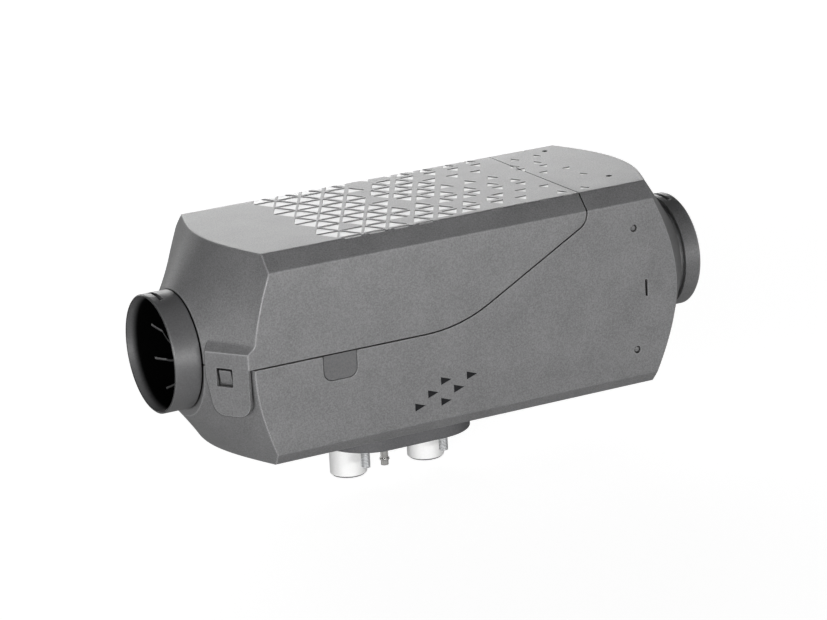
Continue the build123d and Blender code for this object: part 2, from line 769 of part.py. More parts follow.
with BuildPart() as inlet_ring:
    flange_x = NOSE_X + WALL * hypot(1, NOSE_SLOPE) + RING_PLAY
    turned([
        (INLET_RIM_X, DUCT_R + RING_FLARE),
        (INLET_RIM_X, RING_R - RING_EDGE),
        (INLET_RIM_X + RING_EDGE, RING_R),
        (INLET_COLLAR_X, RING_R),
        (INLET_COLLAR_X, NECK_R),
        (flange_x, NECK_R),
        (flange_x, NECK_FLANGE_R),
        (flange_x + NECK_FLANGE_THICK, NECK_FLANGE_R),
        (flange_x + NECK_FLANGE_THICK, NECK_R),
        (NECK_END_X, NECK_R),
        (NECK_END_X, DUCT_R),
        (INLET_RIM_X + RING_FLARE_LENGTH, DUCT_R),
    ])
    clamp_slot(INLET_RIM_X + CLAMP_SLOT_INSET)
    tube(VANE_X, VANE_DEPTH, VANE_HUB_R, VANE_HUB_R - VANE_HUB_WALL)
    with BuildSketch(across(VANE_X)) as vanes:
        with BuildLine():
            for i in range(VANE_COUNT):
                spoke = 360 * i / VANE_COUNT + VANE_START
                ThreePointArc(
                    polar(DUCT_R + RIB_ROOT, spoke),
                    polar((DUCT_R + VANE_HUB_R) / 2, spoke - VANE_SWEEP / 2),
                    polar(VANE_HUB_R - RIB_ROOT, spoke - VANE_SWEEP),
                )
        trace(line_width=VANE_THICK)
    extrude(vanes.sketch, amount=VANE_DEPTH)
    turned([
        (VANE_X, 0),
        (VANE_X + VANE_DISH, 0),
        (VANE_X + VANE_DISH, DUCT_R - VANE_DISH_RIM),
        (VANE_X, DUCT_R),
    ], Mode.SUBTRACT)


# ---- Cable ports: a blank plug at the front and a rubber grommet at the back ----

def port_filler(bore_r):
    """A plug for the front port, flush outside, with a lip behind the wall, bored if bore_r."""
    with BuildPart() as filler:
        inner_y = HALF_WIDTH - WALL - PORT_FIT - PORT_LIP_THICK
        with BuildSketch(lengthwise().offset(inner_y)) as face:
            with Locations((PORT_X, SEAM_Z)):
                RectangleRounded(PORT_WIDTH - 2 * PORT_FIT, 2 * (PORT_HEIGHT - PORT_FIT), PORT_R)
        extrude(face.sketch, amount=HALF_WIDTH - inner_y)
        with BuildSketch(lengthwise().offset(inner_y)) as lip:
            with Locations((PORT_X, SEAM_Z)):
                RectangleRounded(
                    PORT_WIDTH + 2 * PORT_LIP, 2 * (PORT_HEIGHT + PORT_LIP), PORT_R + PORT_LIP
                )
        extrude(lip.sketch, amount=PORT_LIP_THICK)
        extrude(over_seam(SEAM_GAP), amount=WIDE, both=True, mode=Mode.SUBTRACT)
        if bore_r:
            with BuildSketch(lengthwise().offset(inner_y)) as collar:
                with Locations((PORT_X, SEAM_Z - PORT_HEIGHT / 2)):
                    Circle(bore_r + CABLE_COLLAR)
            extrude(collar.sketch, amount=-CABLE_COLLAR_LENGTH)
            with BuildSketch(lengthwise().offset(inner_y - CABLE_COLLAR_LENGTH)) as bore:
                with Locations((PORT_X, SEAM_Z - PORT_HEIGHT / 2)):
                    Circle(bore_r)
            extrude(bore.sketch, amount=HALF_WIDTH, mode=Mode.SUBTRACT)
    return filler.part


port_plug = port_filler(0)
cable_grommet = mirror(port_filler(CABLE_R), about=Plane.XZ)


# ---- Foot seal and mounting studs ----

def foot_face(grow, bottom):
    """The foot's rounded outline at a height, grown all round."""
    with BuildSketch(level(bottom)) as outline:
        RectangleRounded(FOOT_LENGTH + 2 * grow, FOOT_WIDTH + 2 * grow, FOOT_R + grow)
    return outline.sketch


with BuildPart() as foot_seal:
    with BuildSketch(level(0)) as seal_face:
        RectangleRounded(SEAL_LENGTH, SEAL_WIDTH, SEAL_R)
    extrude(seal_face.sketch, amount=SEAL_HEIGHT)
    extrude(foot_face(SEAL_FIT, SEAL_FLOOR), amount=SEAL_HEIGHT, mode=Mode.SUBTRACT)
    with BuildSketch(level(0)) as seal_holes:
        with Locations((-STUB_X, 0), (STUB_X, 0)):
            Circle(STUB_R + STUB_GAP)
        with GridLocations(2 * STUD_X, 2 * STUD_Y, 2, 2):
            Circle(STUD_R + STUD_ROOT + SEAL_FIT)
        with Locations((FUEL_X, FUEL_Y)):
            Circle(FUEL_BEAD_R + SEAL_FIT)
    extrude(seal_holes.sketch, amount=SEAL_FLOOR, mode=Mode.SUBTRACT)

with BuildPart() as mounting_studs:
    for x in (-STUD_X, STUD_X):
        for y in (-STUD_Y, STUD_Y):
            post(x, y, -STUD_OUT, 0, STUD_R)
            post(x, y, 0, STUD_IN, STUD_R + STUD_ROOT)
    chamfer(mounting_studs.edges().filter_by(GeomType.CIRCLE).group_by(Axis.Z)[0], STUD_TIP)


def half_foot(side):
    """Half of the foot plate, cut at the middle: side is -1 for the blower's, 1 for the burner's."""
    extrude(foot_face(0, SEAL_FLOOR), amount=FOOT_TOP - SEAL_FLOOR)
    with BuildSketch(level(SEAL_FLOOR)) as other_half:
        with Locations((-side * (FOOT_LENGTH - FOOT_SPLIT) / 2, 0)):
            Rectangle(FOOT_LENGTH, FOOT_WIDTH + 2 * MARGIN)
    extrude(other_half.sketch, amount=FOOT_TOP, mode=Mode.SUBTRACT)


def stub(x, top):
    """A pipe stub under the foot, with its end edge rounded."""
    with BuildSketch(lengthwise(AXIS_Z)) as profile:
        with BuildLine():
            Polyline(
                (x, -STUB_OUT),
                (x + STUB_R - STUB_EDGE, -STUB_OUT),
                (x + STUB_R, STUB_EDGE - STUB_OUT),
                (x + STUB_R, 0),
                (x + STUB_R + STUB_ROOT, 0),
                (x + STUB_R + STUB_ROOT, top),
                (x, top),
                close=True,
            )
        make_face()
    revolve(profile.sketch, axis=Axis((x, 0, 0), (0, 0, 1)))


def stud_holes(side):
    """Threaded holes for the two studs in one half of the foot."""
    hole_r = STUD_R + STUD_ROOT + SCREW_FIT
    for y in (-STUD_Y, STUD_Y):
        post(side * STUD_X, y, SEAL_FLOOR, STUD_IN, hole_r, Mode.SUBTRACT)


# ---- Blower: motor side cover, impeller housing with the air stub, impeller, motor, fan ----

BURNER_X = POT_X - GASKET_THICK - BURNER_FLANGE_THICK
HOUSING_X = BURNER_X - GASKET_THICK - HOUSING_THICK
PLATE_X = HOUSING_X - COVER_PLATE_THICK
MOTOR_X = PLATE_X - MOTOR_LENGTH
POCKET_DEPTH = IMPELLER_THICK + 2 * IMPELLER_GAP
FAN_X = MOTOR_X - FAN_GAP - FAN_LENGTH
JOIN_ANGLES = (JOIN_SCREW_TILT, 180 - JOIN_SCREW_TILT, 180 + JOIN_SCREW_TILT, -JOIN_SCREW_TILT)
JOIN_PLACES = [polar(JOIN_SCREW_R, angle) for angle in JOIN_ANGLES]


def side_channel(x):
    """The ring-shaped air channel, half of it on each side of the impeller's rim."""
    with BuildSketch(lengthwise()) as groove:
        with Locations((x, CHANNEL_MEAN_R)):
            Circle(CHANNEL_R)
    revolve(groove.sketch, axis=DUCT, mode=Mode.SUBTRACT)


with BuildPart() as blower_housing:
    disc(HOUSING_X, HOUSING_THICK, HOUSING_R)
    half_foot(-1)
    neck_x = HOUSING_X + HOUSING_THICK / 2
    neck_bottom = FLOOR_Z + FOOT_GAP
    with BuildSketch(level(neck_bottom)) as neck:
        with Locations((neck_x, 0)):
            Rectangle(HOUSING_THICK - 2 * NECK_INSET, NECK_WIDTH)
    extrude(neck.sketch, amount=AXIS_Z - CHANNEL_MEAN_R - neck_bottom)
    stub(-STUB_X, SEAL_FLOOR)
    disc(HOUSING_X, POCKET_DEPTH, IMPELLER_R + IMPELLER_GAP, Mode.SUBTRACT)
    side_channel(HOUSING_X + POCKET_DEPTH)
    disc(HOUSING_X, POCKET_DEPTH + SHAFT_END_GAP, SHAFT_R + IMPELLER_GAP, Mode.SUBTRACT)
    duct_floor = FOOT_TOP - DUCT_ROOF
    post(-STUB_X, 0, -STUB_OUT, duct_floor, STUB_BORE_R, Mode.SUBTRACT)
    with BuildSketch(Plane.YZ.offset(neck_x)) as duct_run:
        with Locations((0, duct_floor - INTAKE_R)):
            Circle(INTAKE_R)
    extrude(duct_run.sketch, amount=-STUB_X - neck_x, mode=Mode.SUBTRACT)
    intake_bottom = duct_floor - INTAKE_R
    post(neck_x + NECK_INSET, 0, intake_bottom, AXIS_Z - CHANNEL_MEAN_R, INTAKE_R, Mode.SUBTRACT)
    bars([(CHANNEL_MEAN_R, 0)], HOUSING_X, HOUSING_THICK, INTAKE_R, Mode.SUBTRACT)
    bars(JOIN_PLACES, HOUSING_X, HOUSING_THICK, SCREW_R + SCREW_FIT, Mode.SUBTRACT)
    post(FUEL_X, FUEL_Y, SEAL_FLOOR, FOOT_TOP, FUEL_R + FUEL_GAP, Mode.SUBTRACT)
    stud_holes(-1)

with BuildPart() as blower_cover:
    disc(PLATE_X, COVER_PLATE_THICK, HOUSING_R)
    disc(PLATE_X - REGISTER_DEPTH, REGISTER_DEPTH, MOTOR_R - MOTOR_WALL - BEARING_FIT)
    for y, z in JOIN_PLACES:
        bars([(y, z)], PLATE_X, SCREW_HEAD, SCREW_HEAD_R + SCREW_FIT, Mode.SUBTRACT)
    bars(JOIN_PLACES, PLATE_X, COVER_PLATE_THICK, SCREW_R + SCREW_FIT, Mode.SUBTRACT)
    side_channel(HOUSING_X)
    seat_depth = REGISTER_DEPTH + BEARING_THICK
    disc(PLATE_X - REGISTER_DEPTH, seat_depth, BEARING_R + BEARING_FIT, Mode.SUBTRACT)
    disc(PLATE_X, COVER_PLATE_THICK, SHAFT_R + IMPELLER_GAP, Mode.SUBTRACT)

with BuildPart() as combustion_impeller:
    impeller_x = HOUSING_X + IMPELLER_GAP
    disc(impeller_x, IMPELLER_THICK, IMPELLER_R)
    for groove_x in (impeller_x, impeller_x + IMPELLER_THICK):
        side_channel(groove_x)
    with BuildSketch(across(impeller_x)) as paddles:
        with PolarLocations(CHANNEL_MEAN_R, IMPELLER_VANES):
            Rectangle(2 * CHANNEL_R, IMPELLER_VANE)
    extrude(paddles.sketch, amount=IMPELLER_THICK)
    disc(impeller_x, IMPELLER_THICK, SHAFT_R + SHAFT_FIT, Mode.SUBTRACT)


def ball_bearing(x):
    """A shielded bearing on the shaft: two races and a shield groove on each face."""
    with BuildPart() as bearing:
        tube(x, BEARING_THICK, BEARING_R, SHAFT_R + SHAFT_FIT)
        for face in (x, x + BEARING_THICK - BEARING_GROOVE):
            turned([
                (face, SHAFT_R + BEARING_RACE),
                (face + BEARING_GROOVE, SHAFT_R + BEARING_RACE),
                (face + BEARING_GROOVE, BEARING_R - BEARING_RACE),
                (face, BEARING_R - BEARING_RACE),
            ], Mode.SUBTRACT)
    return bearing.part


FRONT_BEARING_X = MOTOR_X + MOTOR_WALL
rear_bearing = ball_bearing(PLATE_X)
front_bearing = ball_bearing(FRONT_BEARING_X)

with BuildPart() as motor_can:
    disc(MOTOR_X, MOTOR_LENGTH, MOTOR_R)
    disc(MOTOR_X + MOTOR_WALL, MOTOR_LENGTH, MOTOR_R - MOTOR_WALL, Mode.SUBTRACT)
    tube(MOTOR_X, MOTOR_WALL + BEARING_THICK, BEARING_SEAT_R, BEARING_R + BEARING_FIT)
    disc(MOTOR_X, MOTOR_WALL, SHAFT_R + IMPELLER_GAP, Mode.SUBTRACT)
    front_circles = motor_can.edges().filter_by(GeomType.CIRCLE).group_by(Axis.X)[0]
    fillet(front_circles.sort_by(SortBy.RADIUS)[-1], MOTOR_WALL)

ARMATURE_X = FRONT_BEARING_X + BEARING_THICK + 2 * WINDING_THICK
with BuildPart() as motor_magnets:
    magnet_out = MOTOR_R - MOTOR_WALL - BEARING_FIT
    tube(ARMATURE_X, ARMATURE_LENGTH, magnet_out, magnet_out - MAGNET_THICK)
    with BuildSketch(across(ARMATURE_X)) as split_gap:
        Rectangle(2 * MOTOR_R, MAGNET_SPLIT)
    extrude(split_gap.sketch, amount=ARMATURE_LENGTH, mode=Mode.SUBTRACT)

with BuildPart() as armature:
    disc(ARMATURE_X, ARMATURE_LENGTH, ARMATURE_R)
    with BuildSketch(across(ARMATURE_X)) as slots:
        with PolarLocations((ARMATURE_R + ARMATURE_NECK_R) / 2, SLOT_COUNT):
            RectangleRounded(ARMATURE_R - ARMATURE_NECK_R - SLOT_LIP, SLOT_WIDE, SLOT_LIP)
        with PolarLocations(ARMATURE_R, SLOT_COUNT):
            Rectangle(3 * SLOT_LIP, SLOT_LIP)
    extrude(slots.sketch, amount=ARMATURE_LENGTH, mode=Mode.SUBTRACT)
    for coil_x in (ARMATURE_X - WINDING_THICK, ARMATURE_X + ARMATURE_LENGTH):
        tube(coil_x, WINDING_THICK, WINDING_R, ARMATURE_NECK_R - WINDING_THICK)
    wound_length = ARMATURE_LENGTH + 2 * WINDING_THICK
    disc(ARMATURE_X - WINDING_THICK, wound_length, SHAFT_R + SHAFT_FIT, Mode.SUBTRACT)

COMMUTATOR_X = ARMATURE_X + ARMATURE_LENGTH + WINDING_THICK + COMMUTATOR_GAP
with BuildPart() as commutator:
    tube(COMMUTATOR_X, COMMUTATOR_LENGTH, COMMUTATOR_R, SHAFT_R + SHAFT_FIT)
    with BuildSketch(across(COMMUTATOR_X)) as bar_gaps:
        with PolarLocations(COMMUTATOR_R, COMMUTATOR_BARS):
            Rectangle(COMMUTATOR_GAP, COMMUTATOR_GAP)
    extrude(bar_gaps.sketch, amount=COMMUTATOR_LENGTH, mode=Mode.SUBTRACT)

BRUSH_X = PLATE_X - REGISTER_DEPTH - BRUSH_RING_THICK - BRUSH_SIZE
with BuildPart() as motor_brushes:
    with BuildSketch(across(BRUSH_X)) as brush_faces:
        for side in (-1, 1):
            with Locations((side * (COMMUTATOR_R + BRUSH_GAP + BRUSH_LENGTH / 2), 0)):
                Rectangle(BRUSH_LENGTH, BRUSH_SIZE)
    extrude(brush_faces.sketch, amount=BRUSH_SIZE)

with BuildPart() as brush_ring:
    tube(
        BRUSH_X + BRUSH_SIZE, BRUSH_RING_THICK,
        MOTOR_R - MOTOR_WALL - BEARING_FIT, BEARING_R + BEARING_FIT,
    )
    with BuildSketch(across(BRUSH_X)) as holders:
        for side in (-1, 1):
            with Locations((side * (COMMUTATOR_R + BRUSH_INSET + BRUSH_LENGTH / 2), 0)):
                Rectangle(BRUSH_LENGTH, BRUSH_SIZE + 2 * BRUSH_RING_THICK)
                Rectangle(BRUSH_LENGTH + MARGIN, BRUSH_SIZE + 2 * BRUSH_GAP, mode=Mode.SUBTRACT)
    extrude(holders.sketch, amount=BRUSH_SIZE)

with BuildPart() as motor_shaft:
    shaft_tip = FAN_X - SHAFT_TIP
    shaft_end = HOUSING_X + POCKET_DEPTH
    turned([
        (shaft_tip, 0),
        (shaft_tip, SHAFT_R - STUD_TIP),
        (shaft_tip + STUD_TIP, SHAFT_R),
        (shaft_end, SHAFT_R),
        (shaft_end, 0),
    ])


def blade_end(radius, pitch, chord):
    """The thin section of a fan blade at a radius, turned by its pitch from the duct axis."""
    middle = FAN_X + FAN_LENGTH / 2
    chord_dir = Vector(cos(radians(pitch)), 0, sin(radians(pitch)))
    plane = Plane(origin=(middle, radius, AXIS_Z), x_dir=chord_dir, z_dir=(0, 1, 0))
    with BuildSketch(plane) as face:
        SlotOverall(chord, FAN_BLADE_THICK)
    return face.sketch


with BuildPart() as fan_blade:
    loft([
        blade_end(FAN_HUB_R - FAN_BLADE_THICK, FAN_ROOT_PITCH, FAN_LENGTH),
        blade_end(FAN_TIP_R, FAN_TIP_PITCH, FAN_LENGTH),
    ])

with BuildPart() as fan_wheel:
    for i in range(FAN_BLADES):
        add(fan_blade.part.rotate(DUCT, 360 * i / FAN_BLADES))
    turned([
        (FAN_X - FAN_DOME, SHAFT_R),
        (FAN_X - FAN_DOME, FAN_HUB_R / 2),
        (FAN_X + FAN_LENGTH / 2, FAN_HUB_R),
        (FAN_X + FAN_LENGTH, FAN_HUB_R),
        (FAN_X + FAN_LENGTH, FAN_HUB_R - MOTOR_WALL),
        (FAN_X + FAN_LENGTH / 2, FAN_HUB_R - MOTOR_WALL),
        (FAN_X + FAN_LENGTH / 2, 2 * SHAFT_R),
        (FAN_X + FAN_LENGTH, 2 * SHAFT_R),
        (FAN_X + FAN_LENGTH, SHAFT_R),
    ])
    disc(FAN_X - FAN_DOME, FAN_LENGTH + FAN_DOME, SHAFT_R + SHAFT_FIT, Mode.SUBTRACT)
    tube(FAN_X + FAN_LENGTH / 2, FAN_RING, FAN_TIP_R + FAN_RING_WALL, FAN_TIP_R - FAN_RING_WALL / 2)

with BuildPart() as fan_nut:
    with BuildSketch(across(FAN_X - FAN_DOME - FAN_NUT)) as nut_face:
        RegularPolygon(FAN_NUT_R, 6, major_radius=False)
        Circle(SHAFT_R + SHAFT_FIT, mode=Mode.SUBTRACT)
    extrude(nut_face.sketch, amount=FAN_NUT)


# ---- Burner: flange with air holes, chamber, flame tube, evaporator mat, glow pin, fuel pipe ----

CHAMBER_X = BURNER_X + BURNER_FLANGE_THICK
FUEL_ENTRY_Z = AXIS_Z - sqrt(CHAMBER_R ** 2 - FUEL_ENTRY_Y ** 2)
FUEL_ENTRY = Vector(CHAMBER_X + FUEL_ENTRY_X, FUEL_ENTRY_Y, FUEL_ENTRY_Z)
FUEL_BEND = Vector(FUEL_X, FUEL_Y, FOOT_TOP + FUEL_BEND_UP)


def fuel_bore(gap):
    """A hole for the slanting run of the fuel pipe, in the part being built."""
    run = FUEL_ENTRY - FUEL_BEND
    with BuildSketch(Plane(origin=FUEL_BEND, z_dir=run)) as way:
        Circle(FUEL_R + gap)
    extrude(way.sketch, amount=run.length + 2 * FUEL_R, mode=Mode.SUBTRACT)


def flange_gasket(x):
    """A ring gasket with the long screws' holes."""
    with BuildPart() as gasket:
        tube(x, GASKET_THICK, BURNER_FLANGE_R, POT_R - POT_WALL)
        bars(JOIN_PLACES, x, GASKET_THICK, SCREW_R + SCREW_FIT, Mode.SUBTRACT)
    return gasket.part


blower_gasket = flange_gasket(BURNER_X - GASKET_THICK)
exchanger_gasket = flange_gasket(POT_X - GASKET_THICK)

with BuildPart() as burner_chamber:
    disc(BURNER_X, BURNER_FLANGE_THICK, BURNER_FLANGE_R)
    disc(CHAMBER_X, CHAMBER_LENGTH, CHAMBER_R)
    disc(CHAMBER_X, CHAMBER_LENGTH, CHAMBER_R - CHAMBER_WALL, Mode.SUBTRACT)
    bars(JOIN_PLACES, BURNER_X, BURNER_FLANGE_THICK, SCREW_R + SCREW_FIT, Mode.SUBTRACT)
    swirl_places = ring_places(SWIRL_RING_R, SWIRL_HOLES, SWIRL_START)
    bars(swirl_places, BURNER_X, BURNER_FLANGE_THICK, SWIRL_HOLE_R, Mode.SUBTRACT)
    for row in AIR_ROWS:
        with BuildSketch(level(0)) as air_holes:
            with Locations((CHAMBER_X + row, 0)):
                Circle(SWIRL_HOLE_R)
        for i in range(SWIRL_HOLES // 2):
            hole = extrude(air_holes.sketch, amount=2 * AXIS_Z, mode=Mode.PRIVATE)
            add(hole.rotate(DUCT, 360 * i / SWIRL_HOLES), mode=Mode.SUBTRACT)
    post(GLOW_X, 0, AXIS_Z + CHAMBER_R / 2, AXIS_Z + 2 * CHAMBER_R, GLOW_R + GLOW_GAP, Mode.SUBTRACT)
    fuel_bore(BEARING_FIT)

with BuildPart() as evaporator_mat:
    disc(CHAMBER_X, MAT_THICK, CHAMBER_R - CHAMBER_WALL - MAT_FIT)

with BuildPart() as flame_tube:
    flame_x = CHAMBER_X + CHAMBER_LENGTH - FLAME_LAP
    flame_end = POT_X + POT_LENGTH - POT_WALL - FLAME_END_GAP
    flame_r = CHAMBER_R + FLAME_GAP
    tube(flame_x, flame_end - flame_x, flame_r + CHAMBER_WALL, flame_r)

with BuildPart() as glow_pin:
    glow_seat = AXIS_Z + POT_R + GLOW_BOSS
    post(GLOW_X, 0, AXIS_Z + GLOW_DEPTH, glow_seat, GLOW_R)
    post(GLOW_X, 0, AXIS_Z + POT_R - POT_WALL, glow_seat + GLOW_HEAD, GLOW_BODY_R)
    with BuildSketch(level(glow_seat)) as glow_hex:
        with Locations((GLOW_X, 0)):
            RegularPolygon(GLOW_HEX_R, 6, major_radius=False)
    extrude(glow_hex.sketch, amount=GLOW_HEX)
    post(GLOW_X, 0, glow_seat, glow_seat + GLOW_HEAD + GLOW_PIN, GLOW_R)

with BuildPart() as fuel_pipe:
    with BuildLine() as fuel_route:
        FilletPolyline((FUEL_X, FUEL_Y, -FUEL_OUT), FUEL_BEND, FUEL_ENTRY, radius=FUEL_BEND_R)
    with BuildSketch(level(-FUEL_OUT)) as fuel_section:
        with Locations((FUEL_X, FUEL_Y)):
            Circle(FUEL_R)
            Circle(FUEL_BORE_R, mode=Mode.SUBTRACT)
    sweep(fuel_section.sketch, path=fuel_route.line)
    with BuildSketch(level(FUEL_BEAD_Z - FUEL_OUT)) as bead:
        with Locations((FUEL_X, FUEL_Y)):
            Circle(FUEL_BEAD_R)
            Circle(FUEL_R, mode=Mode.SUBTRACT)
    extrude(bead.sketch, amount=FUEL_BEAD)


# ---- Heat exchanger: a finned pot with its half of the foot and the exhaust stub ----

with BuildPart() as heat_exchanger:
    disc(POT_X, POT_LENGTH, POT_R)
    disc(POT_X, FLANGE_THICK, FLANGE_R)
    fin_x = FIN_START_X
    fin_end = POT_X + POT_LENGTH - FIN_END_GAP
    with BuildSketch(across(fin_x)) as fins:
        with PolarLocations((FIN_R + POT_R) / 2, FIN_COUNT):
            Rectangle(FIN_R - POT_R + POT_WALL, FIN_THICK)
    extrude(fins.sketch, amount=fin_end - fin_x)
    with BuildSketch(level(AXIS_Z + POT_R)) as boss_clear:
        with Locations((BOSS_X, 0)):
            Rectangle(BOSS_LENGTH + 2 * BOSS_GAP, BOSS_WIDTH + 2 * BOSS_GAP)
    extrude(boss_clear.sketch, amount=FIN_R, mode=Mode.SUBTRACT)
    with BuildSketch(level(AXIS_Z + POT_R - POT_WALL)) as boss:
        with Locations((BOSS_X, 0)):
            Rectangle(BOSS_LENGTH, BOSS_WIDTH)
    extrude(boss.sketch, amount=BOSS_TOP - POT_R + POT_WALL)
    post(GLOW_X, 0, AXIS_Z + POT_R - POT_WALL, AXIS_Z + POT_R + GLOW_BOSS, GLOW_BOSS_R)
    half_foot(1)
    with BuildSketch(level(FOOT_TOP - POT_WALL)) as exhaust_neck:
        with Locations((STUB_X, 0)):
            Rectangle(EXHAUST_NECK, EXHAUST_NECK)
    extrude(exhaust_neck.sketch, amount=AXIS_Z - POT_R - FOOT_TOP + 2 * POT_WALL)
    stub(STUB_X, SEAL_FLOOR)
    disc(POT_X, POT_LENGTH - POT_WALL, POT_R - POT_WALL, Mode.SUBTRACT)
    post(STUB_X, 0, -STUB_OUT, AXIS_Z - POT_R + 2 * POT_WALL, STUB_BORE_R, Mode.SUBTRACT)
    post(GLOW_X, 0, AXIS_Z, AXIS_Z + 2 * POT_R, GLOW_BODY_R + GLOW_GAP, Mode.SUBTRACT)
    bars(JOIN_PLACES, POT_X, JOIN_DEPTH, SCREW_R + SCREW_FIT, Mode.SUBTRACT)
    fuel_bore(FUEL_GAP)
    stud_holes(1)


# ---- Overheat sensor on the exchanger's boss, under a spring clip ----

SENSOR_Z = AXIS_Z + BOSS_TOP
with BuildPart() as overheat_sensor:
    with BuildSketch(level(SENSOR_Z)) as sensor_base:
        with Locations((BOSS_X, 0)):
            RectangleRounded(SENSOR_LENGTH, SENSOR_WIDTH, SENSOR_R)
    extrude(sensor_base.sketch, amount=SENSOR_HEIGHT)
    with BuildSketch(level(SENSOR_Z + SENSOR_HEIGHT)) as groove:
        with Locations((BOSS_X, 0)):
            Rectangle(CLIP_WIDTH + 2 * CLIP_GAP, SENSOR_WIDTH)
    extrude(groove.sketch, amount=-CLIP_THICK, mode=Mode.SUBTRACT)

with BuildPart() as sensor_clip:
    clip_x = BOSS_X - CLIP_WIDTH / 2
    clip_out = BOSS_WIDTH / 2 + CLIP_GAP + CLIP_THICK
    clip_top = BOSS_TOP + SENSOR_HEIGHT
    clip_low = BOSS_TOP - CLIP_LEG
    with BuildSketch(across(clip_x)) as strip:
        with BuildLine():
            leg = FilletPolyline(
                (-clip_out, clip_low), (-clip_out, clip_top), (clip_out, clip_top), (clip_out, clip_low),
                radius=2 * CLIP_THICK,
            )
            inner = FilletPolyline(
                (clip_out - CLIP_THICK, clip_low),
                (clip_out - CLIP_THICK, clip_top - CLIP_THICK),
                (CLIP_THICK - clip_out, clip_top - CLIP_THICK),
                (CLIP_THICK - clip_out, clip_low),
                radius=CLIP_THICK,
            )
            Line(leg @ 1, inner @ 0)
            Line(inner @ 1, leg @ 0)
        make_face()
    extrude(strip.sketch, amount=CLIP_WIDTH)


# ---- Control unit over the motor: box, circuit board, lid and connector sockets ----

UNIT_X = PLATE_X - UNIT_LENGTH
UNIT_Z = AXIS_Z + UNIT_BOTTOM


def unit_face(z, grow=0.0):
    """The control unit's rounded plan outline at a height, grown all round."""
    with BuildSketch(level(z)) as outline:
        with Locations((UNIT_X + UNIT_LENGTH / 2, 0)):
            RectangleRounded(UNIT_LENGTH + 2 * grow, UNIT_WIDTH + 2 * grow, UNIT_R + grow)
    return outline.sketch


with BuildPart() as control_box:
    extrude(unit_face(UNIT_Z), amount=UNIT_HEIGHT)
    extrude(unit_face(UNIT_Z + UNIT_WALL, -UNIT_WALL), amount=UNIT_HEIGHT, mode=Mode.SUBTRACT)
    with BuildSketch(level(UNIT_Z)) as pillars:
        with Locations((UNIT_X + UNIT_LENGTH / 2, 0)):
            with GridLocations(UNIT_LENGTH - PILLAR_INSET, UNIT_WIDTH - PILLAR_INSET, 2, 2):
                Circle(PILLAR_R)
    extrude(pillars.sketch, amount=UNIT_HEIGHT - BOARD_DEPTH)

BOARD_Z = UNIT_Z + UNIT_HEIGHT - BOARD_DEPTH
with BuildPart() as control_board:
    extrude(unit_face(BOARD_Z, -UNIT_WALL - BOARD_GAP), amount=BOARD_THICK)
    with BuildSketch(level(BOARD_Z)) as chips:
        for chip_y, chip_length, chip_width in CHIPS:
            with Locations((UNIT_X + UNIT_LENGTH / 2, chip_y)):
                Rectangle(chip_length, chip_width)
    extrude(chips.sketch, amount=-CHIP_HEIGHT)

with BuildPart() as control_lid:
    extrude(unit_face(UNIT_Z + UNIT_HEIGHT), amount=LID_THICK)
    chamfer(control_lid.edges().group_by(Axis.Z)[-1], LID_CHAMFER)
    for y in LID_GROOVES_Y:
        with BuildSketch(level(UNIT_Z + UNIT_HEIGHT + LID_THICK)) as lid_groove:
            with Locations((UNIT_X + UNIT_LENGTH / 2, y)):
                SlotOverall(LID_GROOVE_LENGTH, LID_GROOVE)
        extrude(lid_groove.sketch, amount=-LID_GROOVE / 2, mode=Mode.SUBTRACT)
    with BuildSketch(level(UNIT_Z + UNIT_HEIGHT)) as lid_holes:
        with Locations((UNIT_X + UNIT_LENGTH / 2, 0)):
            with GridLocations(UNIT_LENGTH - PILLAR_INSET, UNIT_WIDTH - PILLAR_INSET, 2, 2):
                Circle(LID_SCREW_R + SCREW_FIT)
    extrude(lid_holes.sketch, amount=LID_THICK, mode=Mode.SUBTRACT)

with BuildPart() as lid_screws:
    screw_z = UNIT_Z + UNIT_HEIGHT + LID_THICK
    with Locations((UNIT_X + UNIT_LENGTH / 2, 0, screw_z)):
        with GridLocations(UNIT_LENGTH - PILLAR_INSET, UNIT_WIDTH - PILLAR_INSET, 2, 2):
            Cylinder(LID_SCREW_R, LID_THICK, align=(Align.CENTER, Align.CENTER, Align.MAX))
            Cylinder(LID_SCREW_HEAD_R, LID_SCREW_HEAD, align=(Align.CENTER, Align.CENTER, Align.MIN))

with BuildPart() as control_sockets:
    for socket_y in SOCKETS_Y:
        with BuildSketch(Plane.YZ.offset(UNIT_X)) as socket:
            with Locations((socket_y, UNIT_Z + UNIT_HEIGHT / 2)):
                RectangleRounded(SOCKET_WIDTH, SOCKET_HEIGHT, SOCKET_R)
        extrude(socket.sketch, amount=-SOCKET_OUT)
        with BuildSketch(Plane.YZ.offset(UNIT_X - SOCKET_OUT)) as socket_mouth:
            with Locations((socket_y, UNIT_Z + UNIT_HEIGHT / 2)):
                Rectangle(SOCKET_WIDTH - 2 * UNIT_WALL, SOCKET_HEIGHT - 2 * UNIT_WALL)
        extrude(socket_mouth.sketch, amount=SOCKET_OUT - UNIT_WALL, mode=Mode.SUBTRACT)


# ---- Long screws through blower and burner into the exchanger flange ----

with BuildPart() as joining_screws:
    screw_end = POT_X + JOIN_DEPTH
    bars(JOIN_PLACES, PLATE_X, screw_end - PLATE_X, SCREW_R)
    bars(JOIN_PLACES, PLATE_X, SCREW_HEAD, SCREW_HEAD_R)
    with BuildSketch(across(PLATE_X)) as drives:
        with Locations(*JOIN_PLACES):
            RegularPolygon(SCREW_DRIVE_R, 6)
    extrude(drives.sketch, amount=SCREW_HEAD / 2, mode=Mode.SUBTRACT)


# ---- Pieces ----

